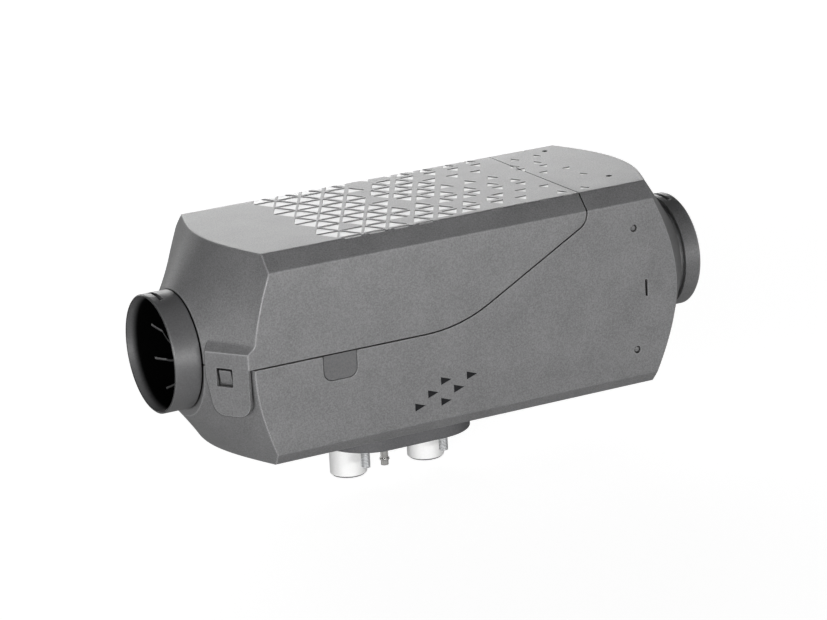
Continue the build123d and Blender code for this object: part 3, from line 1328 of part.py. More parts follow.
pieces = {
    "lower_shell": lower_shell.part,
    "upper_cover": upper_cover.part,
    "outlet_hood": outlet_hood.part,
    "inlet_ring": inlet_ring.part,
    "port_plug": port_plug,
    "cable_grommet": cable_grommet,
    "foot_seal": foot_seal.part,
    "mounting_studs": mounting_studs.part,
    "blower_housing": blower_housing.part,
    "blower_cover": blower_cover.part,
    "blower_gasket": blower_gasket,
    "exchanger_gasket": exchanger_gasket,
    "burner_chamber": burner_chamber.part,
    "flame_tube": flame_tube.part,
    "evaporator_mat": evaporator_mat.part,
    "glow_pin": glow_pin.part,
    "fuel_pipe": fuel_pipe.part,
    "heat_exchanger": heat_exchanger.part,
    "overheat_sensor": overheat_sensor.part,
    "sensor_clip": sensor_clip.part,
    "motor_can": motor_can.part,
    "motor_magnets": motor_magnets.part,
    "brush_ring": brush_ring.part,
    "motor_brushes": motor_brushes.part,
    "front_bearing": front_bearing,
    "rear_bearing": rear_bearing,
    "motor_shaft": motor_shaft.part,
    "armature": armature.part,
    "commutator": commutator.part,
    "fan_wheel": fan_wheel.part,
    "fan_nut": fan_nut.part,
    "combustion_impeller": combustion_impeller.part,
    "control_box": control_box.part,
    "control_board": control_board.part,
    "control_lid": control_lid.part,
    "lid_screws": lid_screws.part,
    "control_sockets": control_sockets.part,
    "joining_screws": joining_screws.part,
}
for name, piece in pieces.items():
    save(piece, name)
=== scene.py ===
"""Diesel air heater in a pointed grey plastic casing, on a plain pale floor."""
from math import pi, radians

import bpy
from mathutils import Matrix, Vector


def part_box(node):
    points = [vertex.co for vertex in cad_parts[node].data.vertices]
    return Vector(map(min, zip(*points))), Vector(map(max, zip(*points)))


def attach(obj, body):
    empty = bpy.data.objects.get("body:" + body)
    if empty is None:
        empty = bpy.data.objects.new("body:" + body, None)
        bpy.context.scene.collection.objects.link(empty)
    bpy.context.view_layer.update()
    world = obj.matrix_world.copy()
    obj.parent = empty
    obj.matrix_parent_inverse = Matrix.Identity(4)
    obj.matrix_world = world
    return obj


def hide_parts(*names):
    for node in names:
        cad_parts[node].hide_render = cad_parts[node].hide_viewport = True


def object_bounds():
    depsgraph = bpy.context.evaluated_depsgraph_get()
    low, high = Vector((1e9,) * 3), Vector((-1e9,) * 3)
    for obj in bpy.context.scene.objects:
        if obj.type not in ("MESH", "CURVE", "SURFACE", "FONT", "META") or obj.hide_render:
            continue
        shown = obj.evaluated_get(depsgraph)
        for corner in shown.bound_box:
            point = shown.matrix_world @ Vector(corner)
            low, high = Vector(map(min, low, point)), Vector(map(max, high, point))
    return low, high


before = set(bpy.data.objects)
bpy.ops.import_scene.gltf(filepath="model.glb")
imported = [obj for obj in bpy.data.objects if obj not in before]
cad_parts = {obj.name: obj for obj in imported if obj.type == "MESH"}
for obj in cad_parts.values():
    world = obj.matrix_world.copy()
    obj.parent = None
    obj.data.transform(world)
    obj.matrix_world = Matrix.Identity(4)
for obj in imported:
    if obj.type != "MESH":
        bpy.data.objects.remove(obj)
cad_box = [list(corner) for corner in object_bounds()]
scene = bpy.context.scene


# ---- Camera, floor and light ----
# The heater is seen from its inlet end, a little from above, through a long lens. It stands on
# its pipe stubs on a plain pale floor under soft boxes. Four dim walls round it light its sides,
# and where the camera looks past the floor it sees plain white.
CAMERA_PLACE = (-0.9333, -1.8334, 0.7071)
CAMERA_LENS = 147.0
CAMERA_REACH = 20.0
AZIMUTH = radians(-27.59)
ELEVATION = radians(17.04)
ROLL = radians(-2.97)

camera_data = bpy.data.cameras.new("camera")
camera_data.lens = CAMERA_LENS
camera_data.clip_end = CAMERA_REACH
camera = bpy.data.objects.new("camera", camera_data)
scene.collection.objects.link(camera)
camera.location = CAMERA_PLACE
swing = Matrix.Rotation(AZIMUTH, 3, "Z")
tilt = Matrix.Rotation(pi / 2 - ELEVATION, 3, "X")
roll = Matrix.Rotation(ROLL, 3, "Z")
camera.rotation_euler = (swing @ tilt @ roll).to_euler()
scene.camera = camera
scene.view_settings.view_transform = "Standard"


def sums(tree, operation, *inputs):
    """One Math node: its inputs are numbers or sockets."""
    node = tree.nodes.new("ShaderNodeMath")
    node.operation = operation
    for place, value in enumerate(inputs):
        if isinstance(value, (int, float)):
            node.inputs[place].default_value = value
        else:
            tree.links.new(value, node.inputs[place])
    return node.outputs[0]


def ramp(tree, value, limits, ends=(0.0, 1.0), smooth=False):
    """One Map Range node: between two limits of a value it goes from one end to the other."""
    node = tree.nodes.new("ShaderNodeMapRange")
    if smooth:
        node.interpolation_type = "SMOOTHSTEP"
    node.inputs["From Min"].default_value = limits[0]
    node.inputs["From Max"].default_value = limits[1]
    node.inputs["To Min"].default_value = ends[0]
    node.inputs["To Max"].default_value = ends[1]
    tree.links.new(value, node.inputs["Value"])
    return node.outputs["Result"]


WALL_TOP = (0.08, 0.6)              # Z of the direction where a wall starts to fade, and ends
WALL_NARROWING = 2.0                # the power by which a wall's light falls off to its sides
WALLS = (                           # which way each wall lies, and how bright it is
    ((0.7071, -0.7071, 0.0), 0.25),
    ((-0.7071, -0.7071, 0.0), 0.38),
    ((-0.7071, 0.7071, 0.0), 0.1),
    ((0.7071, 0.7071, 0.0), 0.3),
)
CEILING_LIGHT = 0.03

world = bpy.data.worlds.new("studio")
scene.world = world
world.use_nodes = True
sky = world.node_tree
sky.nodes.clear()
direction = sky.nodes.new("ShaderNodeTexCoord")
height = sky.nodes.new("ShaderNodeSeparateXYZ")
sky.links.new(direction.outputs["Generated"], height.inputs[0])
wall_share = ramp(sky, height.outputs["Z"], WALL_TOP, ends=(1.0, 0.0), smooth=True)
wall_light = 0.0
for outward, brightness in WALLS:
    toward = sky.nodes.new("ShaderNodeVectorMath")
    toward.operation = "DOT_PRODUCT"
    toward.inputs[1].default_value = outward
    sky.links.new(direction.outputs["Generated"], toward.inputs[0])
    facing = sums(sky, "MAXIMUM", toward.outputs["Value"], 0.0)
    spread = sums(sky, "POWER", facing, WALL_NARROWING)
    wall_light = sums(sky, "MULTIPLY_ADD", spread, brightness, wall_light)
walls = sums(sky, "MULTIPLY", wall_light, wall_share)
overhead = sums(sky, "SUBTRACT", 1.0, wall_share)
room = sums(sky, "MULTIPLY_ADD", overhead, CEILING_LIGHT, walls)
looked_at = sky.nodes.new("ShaderNodeLightPath")
sky_light = sky.nodes.new("ShaderNodeBackground")
sky_light.inputs["Color"].default_value = (1, 1, 1, 1)
sky_level = sums(sky, "MAXIMUM", room, looked_at.outputs["Is Camera Ray"])
sky.links.new(sky_level, sky_light.inputs["Strength"])
sky_out = sky.nodes.new("ShaderNodeOutputWorld")
sky.links.new(sky_light.outputs[0], sky_out.inputs["Surface"])

FLOOR_GAP = 0.0004                  # how far the floor lies below the lowest point
FLOOR_SIZE = 12.0
FLOOR_GREY = 0.33
FLOOR_WHITE = 0.9
FLOOR_IN_GLOSS = 0.2                # the share of that white which glossy surfaces show
FLOOR_ROUGH = 1.0

bpy.ops.object.select_all(action="DESELECT")
bpy.ops.mesh.primitive_plane_add(size=FLOOR_SIZE, location=(0, 0, cad_box[0][2] - FLOOR_GAP))
floor = bpy.context.object
floor.name = "floor"
floor_paint = bpy.data.materials.new("floor_white")
floor_paint.use_nodes = True
paint = floor_paint.node_tree
matt = paint.nodes["Principled BSDF"]
matt.inputs["Base Color"].default_value = (FLOOR_GREY, FLOOR_GREY, FLOOR_GREY, 1)
matt.inputs["Roughness"].default_value = FLOOR_ROUGH
matt.inputs["Emission Color"].default_value = (1, 1, 1, 1)
seen = paint.nodes.new("ShaderNodeLightPath")
mirrored = sums(paint, "MULTIPLY", seen.outputs["Is Glossy Ray"], FLOOR_IN_GLOSS)
shown = sums(paint, "MAXIMUM", seen.outputs["Is Camera Ray"], mirrored)
shown = sums(paint, "MAXIMUM", shown, seen.outputs["Is Transmission Ray"])
glow = sums(paint, "MULTIPLY", shown, FLOOR_WHITE)
paint.links.new(glow, matt.inputs["Emission Strength"])
floor.data.materials.append(floor_paint)

LAMP_AIM = (0, 0, 0.06)
SOFT_BOXES = (                      # name, place, width, height, power
    ("back_box", (0.6, 2.5, 0.75), 2.35, 0.9, 30),
    ("front_box", (0.3, -2.8, 0.1), 2.4, 0.4, 44),
    ("left_box", (-2.0, -1.8, 0.4), 1.4, 0.5, 46),
    ("inlet_box", (-2.6, -0.7, 0.8), 1.2, 0.5, 3),
)


def soft_box(name, place, wide, high, power):
    """A white area lamp at a place, aimed at the heater."""
    lamp_data = bpy.data.lights.new(name, "AREA")
    lamp_data.shape = "RECTANGLE"
    lamp_data.size = wide
    lamp_data.size_y = high
    lamp_data.energy = power
    lamp = bpy.data.objects.new(name, lamp_data)
    scene.collection.objects.link(lamp)
    lamp.location = place
    lamp.rotation_mode = "QUATERNION"
    lamp.rotation_quaternion = (Vector(LAMP_AIM) - Vector(place)).to_track_quat("-Z", "Y")


for box in SOFT_BOXES:
    soft_box(*box)


# ---- Casing ----
# Lower shell, upper cover and outlet hood are injection moulded in one grey plastic with a
# fine spark-eroded grain, and snap together. The small triangles sunk in the top are polished,
# and their floors carry a painted highlight in a paler colour. Flow arrows are printed low on the front.
# The blank plug of the cable port is darker.
GRAIN_SIZE = 1100.0
GRAIN_DEPTH = 0.00006
GRAIN_DETAIL = 3.0
GRAIN_ROUGHNESS = 0.65
GRAIN_CRISP = (0.34, 0.68)          # between these the noise goes from dark to pale specks
CLOUD_SIZE = 45.0
CLOUD_DETAIL = 4.0
SPECKLE_SHARE = 0.55                # the rest of the colour's wandering is cloud
EDGE_RADIUS = 0.0006
EDGE_LEAN = (0.995, 0.9)            # cosines of the lean where the painted edge highlight starts to show, and is full
# painted shade: the near black colour that gaps, and the edges beside them, are painted with
GAP_SHADE_COLOUR = (0.012, 0.012, 0.012)
GAP_DEPTH = 0.0026                  # how deep a gap has to be before painted shade darkens it
GAP_SHADE = (0.3, 0.8)              # how open a place is where the painted shade is full, and where it ends
GAP_SAMPLES = 6
BRINK = 0.0011                      # how far the painted shade reaches out from a square edge beside a gap
BRINK_SHADE = (0.72, 0.6)           # how much body backs a place where it starts, and is full
BRINK_SAMPLES = 8


def surface_grain():
    """Grain, cloud, masks for a painted highlight on rounded edges and for painted shade in and beside
    gaps, and rounded corners of a surface, from Object coordinates.
    """
    group = bpy.data.node_groups.new("surface grain", "ShaderNodeTree")
    for name in ("Size", "Depth", "Edge Radius"):
        group.interface.new_socket(name, in_out="INPUT", socket_type="NodeSocketFloat")
    for name in ("Blend", "Edge", "Gap Shade Mask", "Outline"):
        group.interface.new_socket(name, in_out="OUTPUT", socket_type="NodeSocketFloat")
    group.interface.new_socket("Normal", in_out="OUTPUT", socket_type="NodeSocketVector")
    nodes = group.nodes
    links = group.links
    start = nodes.new("NodeGroupInput")
    end = nodes.new("NodeGroupOutput")
    place = nodes.new("ShaderNodeTexCoord")

    fine = nodes.new("ShaderNodeTexNoise")
    fine.inputs["Detail"].default_value = GRAIN_DETAIL
    fine.inputs["Roughness"].default_value = GRAIN_ROUGHNESS
    links.new(place.outputs["Object"], fine.inputs["Vector"])
    links.new(start.outputs["Size"], fine.inputs["Scale"])
    cloud = nodes.new("ShaderNodeTexNoise")
    cloud.inputs["Scale"].default_value = CLOUD_SIZE
    cloud.inputs["Detail"].default_value = CLOUD_DETAIL
    links.new(place.outputs["Object"], cloud.inputs["Vector"])
    specks = ramp(group, fine.outputs["Fac"], GRAIN_CRISP)
    cloud_part = sums(group, "MULTIPLY", cloud.outputs["Fac"], 1 - SPECKLE_SHARE)
    blend = sums(group, "MULTIPLY_ADD", specks, SPECKLE_SHARE, cloud_part)
    links.new(blend, end.inputs["Blend"])

    gap = nodes.new("ShaderNodeAmbientOcclusion")
    gap.samples = GAP_SAMPLES
    gap.inputs["Distance"].default_value = GAP_DEPTH
    links.new(ramp(group, gap.outputs["AO"], GAP_SHADE, ends=(1.0, 0.0)), end.inputs["Gap Shade Mask"])
    brink = nodes.new("ShaderNodeAmbientOcclusion")
    brink.samples = BRINK_SAMPLES
    brink.inside = True
    brink.inputs["Distance"].default_value = BRINK
    links.new(ramp(group, brink.outputs["AO"], BRINK_SHADE), end.inputs["Outline"])

    rounded = nodes.new("ShaderNodeBevel")
    links.new(start.outputs["Edge Radius"], rounded.inputs["Radius"])
    flat = nodes.new("ShaderNodeNewGeometry")
    lean = nodes.new("ShaderNodeVectorMath")
    lean.operation = "DOT_PRODUCT"
    links.new(rounded.outputs["Normal"], lean.inputs[0])
    links.new(flat.outputs["Normal"], lean.inputs[1])
    links.new(ramp(group, lean.outputs["Value"], EDGE_LEAN), end.inputs["Edge"])
    bump = nodes.new("ShaderNodeBump")
    links.new(start.outputs["Depth"], bump.inputs["Distance"])
    links.new(fine.outputs["Fac"], bump.inputs["Height"])
    links.new(rounded.outputs["Normal"], bump.inputs["Normal"])
    links.new(bump.outputs["Normal"], end.inputs["Normal"])
    return group


GRAIN = surface_grain()


def mixed(tree, factor, first, second, name):
    """A named colour mix: first and second are colours or sockets."""
    mix = tree.nodes.new("ShaderNodeMix")
    mix.name = name
    mix.data_type = "RGBA"
    tree.links.new(factor, mix.inputs["Factor"])
    for slot, colour in (("A", first), ("B", second)):
        if isinstance(colour, tuple):
            mix.inputs[slot].default_value = (*colour, 1)
        else:
            tree.links.new(colour, mix.inputs[slot])
    return mix.outputs["Result"]


def grained(name, dark, pale, roughness, size=GRAIN_SIZE, depth=GRAIN_DEPTH, edge_radius=EDGE_RADIUS,
            metallic=0.0, edge_highlight=None):
    """A grained material whose colour wanders between two shades, with a painted highlight paler on
    rounded edges and painted shade in its gaps.
    """
    material = bpy.data.materials.new(name)
    material.use_nodes = True
    tree = material.node_tree
    shader = tree.nodes["Principled BSDF"]
    grain = tree.nodes.new("ShaderNodeGroup")
    grain.name = "grain"
    grain.node_tree = GRAIN
    grain.inputs["Size"].default_value = size
    grain.inputs["Depth"].default_value = depth
    grain.inputs["Edge Radius"].default_value = edge_radius
    shade = mixed(tree, grain.outputs["Blend"], dark, pale, "shade")
    # painted highlight: rounded edges are painted paler
    if edge_highlight:
        shade = mixed(tree, grain.outputs["Edge"], shade, edge_highlight, "edge highlight")
    # painted shade: gaps and hollows are darkened towards near black
    shade = mixed(tree, grain.outputs["Gap Shade Mask"], shade, GAP_SHADE_COLOUR, "painted gap shade")
    tree.links.new(shade, shader.inputs["Base Color"])
    tree.links.new(grain.outputs["Normal"], shader.inputs["Normal"])
    shader.inputs["Roughness"].default_value = roughness
    shader.inputs["Metallic"].default_value = metallic
    return material


def coat(piece, material):
    """Gives a piece one material all over."""
    piece.data.materials.clear()
    piece.data.materials.append(material)


def finish_nodes(material, *names):
    """Gives CAD pieces one material."""
    for name in names:
        coat(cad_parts[name], material)


def within(tree, value, low, high):
    """1 where a value lies between two limits, 0 elsewhere."""
    return sums(tree, "COMPARE", value, (low + high) / 2, (high - low) / 2)


MERGE_NEAR = 0.000002
CASING_SMOOTH = radians(32)         # edges that turn by less are shaded smooth
SAME_PLACE = 0.00005


def pick(piece):
    """Makes a piece the only one that operators act on."""
    bpy.ops.object.select_all(action="DESELECT")
    bpy.context.view_layer.objects.active = piece
    piece.select_set(True)


def choose(piece, kind, test):
    """In edit mode, selects the corners, edges or faces of a piece that pass a test."""
    bpy.ops.object.mode_set(mode="EDIT")
    bpy.ops.mesh.select_mode(type=kind)
    bpy.ops.mesh.select_all(action="DESELECT")
    bpy.ops.object.mode_set(mode="OBJECT")
    mesh = piece.data
    parts = {"VERT": mesh.vertices, "EDGE": mesh.edges, "FACE": mesh.polygons}[kind]
    for part in parts:
        part.select = test(part)
    bpy.ops.object.mode_set(mode="EDIT")


def moulding(node, body="chassis"):
    """A merged copy of a CAD piece that stands for it, so that its form can be finished."""
    piece = bpy.data.objects.new(node + "_moulding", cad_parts[node].data.copy())
    scene.collection.objects.link(piece)
    pick(piece)
    bpy.ops.mesh.customdata_custom_splitnormals_clear()
    bpy.ops.object.mode_set(mode="EDIT")
    bpy.ops.mesh.select_all(action="SELECT")
    bpy.ops.mesh.remove_doubles(threshold=MERGE_NEAR)
    bpy.ops.mesh.select_all(action="DESELECT")
    bpy.ops.object.mode_set(mode="OBJECT")
    bpy.ops.object.shade_smooth_by_angle(angle=CASING_SMOOTH)
    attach(piece, body)
    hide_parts(node)
    return piece


def shift(piece, chosen, value):
    """Moves the corners of a piece whose places pass a test."""
    pick(piece)
    choose(piece, "VERT", lambda corner: chosen(corner.co))
    bpy.ops.transform.translate(value=value)
    bpy.ops.object.mode_set(mode="OBJECT")


ARROW_LENGTH = 0.0074
ARROW_HEIGHT = 0.0052
ARROW_ROW = 0.0068                  # from one row of arrows down to the next
ARROW_STEP = 0.0185                 # from one arrow to the next in a row
ARROW_SLIP = -0.0095                # how far each row lies behind the one above it
ARROW_TOP = (0.0065, 0.0466)        # X and Z of the first arrow of the top row
ARROW_ROWS = 3
ARROWS_IN_ROW = 2
FRONT_Y = -0.0668


def flow_arrows():
    """A mask of small printed triangles that point along the air flow, on the front."""
    group = bpy.data.node_groups.new("flow arrows", "ShaderNodeTree")
    group.interface.new_socket("Mask", in_out="OUTPUT", socket_type="NodeSocketFloat")
    place = group.nodes.new("ShaderNodeTexCoord")
    split = group.nodes.new("ShaderNodeSeparateXYZ")
    end = group.nodes.new("NodeGroupOutput")
    group.links.new(place.outputs["Object"], split.inputs[0])
    found = 0.0
    for row in range(ARROW_ROWS):
        for step in range(ARROWS_IN_ROW):
            back_x = ARROW_TOP[0] + row * ARROW_SLIP + step * ARROW_STEP
            row_z = ARROW_TOP[1] - row * ARROW_ROW
            along = sums(group, "SUBTRACT", split.outputs["X"], back_x)
            along = sums(group, "DIVIDE", along, ARROW_LENGTH)
            reach = sums(group, "MULTIPLY_ADD", along, -ARROW_HEIGHT / 2, ARROW_HEIGHT / 2)
            off = sums(group, "ABSOLUTE", sums(group, "SUBTRACT", split.outputs["Z"], row_z))
            inside = sums(group, "LESS_THAN", off, reach)
            inside = sums(group, "MULTIPLY", within(group, along, 0, 1), inside)
            found = sums(group, "MAXIMUM", found, inside)
    on_front = sums(group, "LESS_THAN", split.outputs["Y"], FRONT_Y)
    group.links.new(sums(group, "MULTIPLY", found, on_front), end.inputs["Mask"])
    return group


POCKET_CUT = 0.1466                 # height of the triangles' floors in the frame
POCKET_RISE = 0.0005                # how much higher the moulded floors lie
POCKET_X = (-0.0625, 0.146)
POCKET_Y = 0.0585
EDGE_Y = 0.0576                     # past this a triangle runs out through the edge of the top,
EDGE_RISE = 0.0003                  # where its floor rises less
EDGE_BACK = 0.00029                 # and draws back from the edge
RELIEF_Z = 0.146                    # from here up is the top with its triangles
POCKET_FLOOR = (0.14686, 0.14718)   # heights in which the moulded floors lie
POCKET_HIGHLIGHT = (0.4, 0.4, 0.404)
POCKET_ROUGH = 0.3
POCKET_EDGE = 0.00025
CASING_EDGE = 0.0014
CASING_ROUGH = 0.42
CASING_SHINE = 0.9
INK = (0.03, 0.03, 0.032)
INK_ROUGH = 0.7

casing_plastic = grained("casing_plastic", dark=(0.08, 0.08, 0.082), pale=(0.25, 0.25, 0.254),
                         roughness=CASING_ROUGH, edge_highlight=(0.42, 0.42, 0.425))
casing = casing_plastic.node_tree
casing_grain = casing.nodes["grain"]
casing_shader = casing.nodes["Principled BSDF"]
casing_shader.inputs["Specular IOR Level"].default_value = CASING_SHINE
casing_place = casing.nodes.new("ShaderNodeTexCoord")
casing_split = casing.nodes.new("ShaderNodeSeparateXYZ")
casing.links.new(casing_place.outputs["Object"], casing_split.inputs[0])
arrows = casing.nodes.new("ShaderNodeGroup")
arrows.node_tree = flow_arrows()
printed = arrows.outputs["Mask"]
on_top = sums(casing, "MULTIPLY", within(casing, casing_split.outputs["X"], *POCKET_X),
              within(casing, casing_split.outputs["Y"], -EDGE_Y, EDGE_Y))
raised = sums(casing, "GREATER_THAN", casing_split.outputs["Z"], RELIEF_Z)
relief = sums(casing, "MULTIPLY", on_top, raised)
pocket = sums(casing, "MULTIPLY", on_top, within(casing, casing_split.outputs["Z"], *POCKET_FLOOR))

# painted shade: edges beside gaps are darkened to the gap colour, but not on the top's triangles
off_relief = sums(casing, "SUBTRACT", 1.0, relief)
outlined = sums(casing, "MULTIPLY", casing_grain.outputs["Outline"], off_relief)
casing_colour = mixed(casing, outlined, casing.nodes["painted gap shade"].outputs["Result"], GAP_SHADE_COLOUR, "outline")
# painted highlight: the floors of the triangles are made pale
casing_colour = mixed(casing, pocket, casing_colour, POCKET_HIGHLIGHT, "pocket highlight")
casing_colour = mixed(casing, printed, casing_colour, INK, "print")
casing.links.new(casing_colour, casing_shader.inputs["Base Color"])
gloss = sums(casing, "MULTIPLY_ADD", pocket, POCKET_ROUGH - CASING_ROUGH, CASING_ROUGH)
gloss = sums(casing, "MULTIPLY_ADD", printed, INK_ROUGH - CASING_ROUGH, gloss)
casing.links.new(gloss, casing_shader.inputs["Roughness"])
casing.links.new(printed, casing_shader.inputs["Metallic"])      # dark metal has no pale sheen
edge_radius = sums(casing, "MULTIPLY_ADD", relief, POCKET_EDGE - CASING_EDGE, CASING_EDGE)
casing.links.new(edge_radius, casing_grain.inputs["Edge Radius"])
finish_nodes(casing_plastic, "outlet_hood")


def pocket_floor(place):
    """True for a corner of the floor of one of the small triangles in the top."""
    inside = POCKET_X[0] < place.x < POCKET_X[1] and abs(place.y) < POCKET_Y
    return inside and abs(place.z - POCKET_CUT) < SAME_PLACE


for node, body in (("lower_shell", "chassis"), ("upper_cover", "cover")):
    shell = moulding(node, body)
    shift(shell, lambda place: pocket_floor(place) and abs(place.y) < EDGE_Y, (0, 0, POCKET_RISE))
    shift(shell, lambda place: pocket_floor(place) and place.y > EDGE_Y, (0, -EDGE_BACK, EDGE_RISE))
    shift(shell, lambda place: pocket_floor(place) and place.y < -EDGE_Y, (0, EDGE_BACK, EDGE_RISE))
    coat(shell, casing_plastic)

plug_plastic = grained("plug_plastic", dark=(0.085, 0.085, 0.087), pale=(0.165, 0.165, 0.168),
                       roughness=0.45)
finish_nodes(plug_plastic, "port_plug")


# ---- Inlet ring ----
# A separate moulding with ten curved guide vanes round a small hub, held between the nose and
# a saddle. Its throat is painted nearly black as painted shade, and the leading edges
# of the vanes carry a painted highlight that keeps them paler.
AXIS_Z = (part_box("inlet_ring")[0].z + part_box("inlet_ring")[1].z) / 2
THROAT_R = 0.0362
THROAT_X = (-0.1575, -0.152)        # the painted shade grows from the first of these to the second
THROAT_SHADE = (0.003, 0.003, 0.003)
THROAT_ROUGH = 0.82
VANE_FROM_R = 0.0145                # outside the hub
VANE_FACING = -0.7                  # how squarely a leading edge faces the air
VANE_HIGHLIGHT = 0.75
RING_ROUGH = 0.42
RING_SHINE = 0.8
COLLAR_END = (-0.1457, -0.142)      # X of the collar's end in the frame, and of its moulded end
COLLAR_FROM_R = 0.0358

ring_plastic = grained("ring_plastic", dark=(0.075, 0.075, 0.077), pale=(0.145, 0.145, 0.148),
                       roughness=RING_ROUGH, edge_radius=0.0009)
ring = ring_plastic.node_tree
ring_shader = ring.nodes["Principled BSDF"]
ring_shader.inputs["Specular IOR Level"].default_value = RING_SHINE
ring_place = ring.nodes.new("ShaderNodeTexCoord")
ring_split = ring.nodes.new("ShaderNodeSeparateXYZ")
ring.links.new(ring_place.outputs["Object"], ring_split.inputs[0])
off_y = ring_split.outputs["Y"]
off_z = sums(ring, "SUBTRACT", ring_split.outputs["Z"], AXIS_Z)
from_axis = sums(ring, "ADD", sums(ring, "MULTIPLY", off_y, off_y), sums(ring, "MULTIPLY", off_z, off_z))
from_axis = sums(ring, "SQRT", from_axis)
# painted shade: the throat darkens to near black deeper inside the ring
throat_shade = ramp(ring, ring_split.outputs["X"], THROAT_X, smooth=True)
throat_shade = sums(ring, "MULTIPLY", sums(ring, "LESS_THAN", from_axis, THROAT_R), throat_shade)
surface = ring.nodes.new("ShaderNodeNewGeometry")
turned = ring.nodes.new("ShaderNodeSeparateXYZ")
ring.links.new(surface.outputs["Normal"], turned.inputs[0])
# painted highlight: leading edges of the vanes keep their plain colour and less of the throat's painted
# shade
vane_edge = sums(ring, "MULTIPLY", sums(ring, "LESS_THAN", turned.outputs["X"], VANE_FACING),
                 sums(ring, "GREATER_THAN", from_axis, VANE_FROM_R))
throat_shade = sums(ring, "MULTIPLY", throat_shade, sums(ring, "MULTIPLY_ADD", vane_edge, -VANE_HIGHLIGHT, 1.0))

ring_colour = mixed(ring, vane_edge, ring.nodes["painted gap shade"].outputs["Result"],
                    ring.nodes["shade"].outputs["Result"], "vanes")
# painted shade: edges beside gaps are darkened to the gap colour
ring_colour = mixed(ring, ring.nodes["grain"].outputs["Outline"], ring_colour, GAP_SHADE_COLOUR, "outline")
ring_colour = mixed(ring, throat_shade, ring_colour, THROAT_SHADE, "throat")
ring.links.new(ring_colour, ring_shader.inputs["Base Color"])
ring_gloss = sums(ring, "MULTIPLY_ADD", throat_shade, THROAT_ROUGH - RING_ROUGH, RING_ROUGH)
ring.links.new(ring_gloss, ring_shader.inputs["Roughness"])
ring.links.new(throat_shade, ring_shader.inputs["Metallic"])             # no sheen in the throat either


def collar_end(place):
    """True for a corner of the end of the collar, next to the nose."""
    radius = Vector((0, place.y, place.z - AXIS_Z)).length
    return abs(place.x - COLLAR_END[0]) < SAME_PLACE and radius > COLLAR_FROM_R


intake = moulding("inlet_ring")
shift(intake, collar_end, (COLLAR_END[1] - COLLAR_END[0], 0, 0))
coat(intake, ring_plastic)


# ---- Seals ----
# The seal under the foot and the grommet of the back port are black moulded rubber. The foot
# presses the seal on the plate that the heater is bolted to.
seal_rubber = grained("seal_rubber", dark=(0.07, 0.07, 0.073), pale=(0.145, 0.145, 0.15),
                      roughness=0.75, size=900.0, depth=0.00004)
finish_nodes(seal_rubber, "foot_seal", "cable_grommet")


# ---- Castings ----
# Heat exchanger, blower housing and blower cover are die cast aluminium, shot blasted. The
# first two have a pipe stub cast on.
cast_metal = grained("cast_metal", dark=(0.88, 0.88, 0.875), pale=(0.98, 0.98, 0.975),
                     roughness=0.42, size=1100.0, depth=0.00005, metallic=0.15)
finish_nodes(cast_metal, "heat_exchanger", "blower_housing", "blower_cover")


# ---- Gaskets ----
# Both gaskets are punched from compressed fibre sheet. The burner's flange is clamped between
# them, with the blower housing on one side and the heat exchanger on the other.
gasket_fibre = grained("gasket_fibre", dark=(0.15, 0.14, 0.13), pale=(0.31, 0.29, 0.26),
                       roughness=0.85, size=700.0)
finish_nodes(gasket_fibre, "blower_gasket", "exchanger_gasket")


# ---- Burner ----
# Chamber, flame tube, fuel pipe and the sensor's spring clip are stainless steel. The hot parts
# carry a straw tint from heat. The evaporator mat is sintered metal fleece.
stainless = grained("stainless", dark=(0.62, 0.61, 0.59), pale=(0.86, 0.85, 0.83),
                    roughness=0.26, size=500.0, depth=0.00002, metallic=1.0)
finish_nodes(stainless, "fuel_pipe", "sensor_clip")
tinted_steel = grained("tinted_steel", dark=(0.42, 0.36, 0.29), pale=(0.68, 0.61, 0.5),
                       roughness=0.34, size=160.0, depth=0.00003, metallic=1.0)
finish_nodes(tinted_steel, "burner_chamber", "flame_tube")
fleece = grained("fleece", dark=(0.42, 0.4, 0.36), pale=(0.88, 0.85, 0.78),
                 roughness=0.8, size=2600.0, depth=0.0004, metallic=0.5)
finish_nodes(fleece, "evaporator_mat")


# ---- Steel pieces ----
# Screws and nuts are zinc plated, the shaft and bearings ground bright, and the glow pin's
# body is plated too.
zinc = grained("zinc", dark=(0.55, 0.56, 0.58), pale=(0.78, 0.79, 0.8),
               roughness=0.3, size=650.0, depth=0.00003, metallic=1.0, edge_highlight=(0.9, 0.9, 0.9))
finish_nodes(zinc, "lid_screws", "joining_screws", "fan_nut", "glow_pin")
ground_steel = grained("ground_steel", dark=(0.6, 0.6, 0.61), pale=(0.75, 0.75, 0.76),
                       roughness=0.18, size=2000.0, depth=0.00001, metallic=1.0)
finish_nodes(ground_steel, "motor_shaft", "front_bearing", "rear_bearing")


# ---- Mounting studs ----
# Four M6 studs of zinc plated steel. Each has a thicker root that is pressed into the casting,
# and a rolled thread of 1 mm pitch below the mounting face.
STUD_X = 0.0282
STUD_Y = 0.025
STUD_R = 0.003
STUD_SIDES = 32
STUD_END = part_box("mounting_studs")[0].z
STUD_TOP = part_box("mounting_studs")[1].z
STUD_SMOOTH = radians(30)
ROOT_R = 0.0035
ROOT_EDGE = 0.0004
ROOT_EDGE_STEPS = 2
THREAD_PITCH = 0.001
THREAD_CREST = 0.18                 # the share of the pitch that the crest keeps flat
THREAD_TURNS = 18
EXACT = 0.000001
UPWARD = 0.9                        # a face that points up has a normal with more Z than this

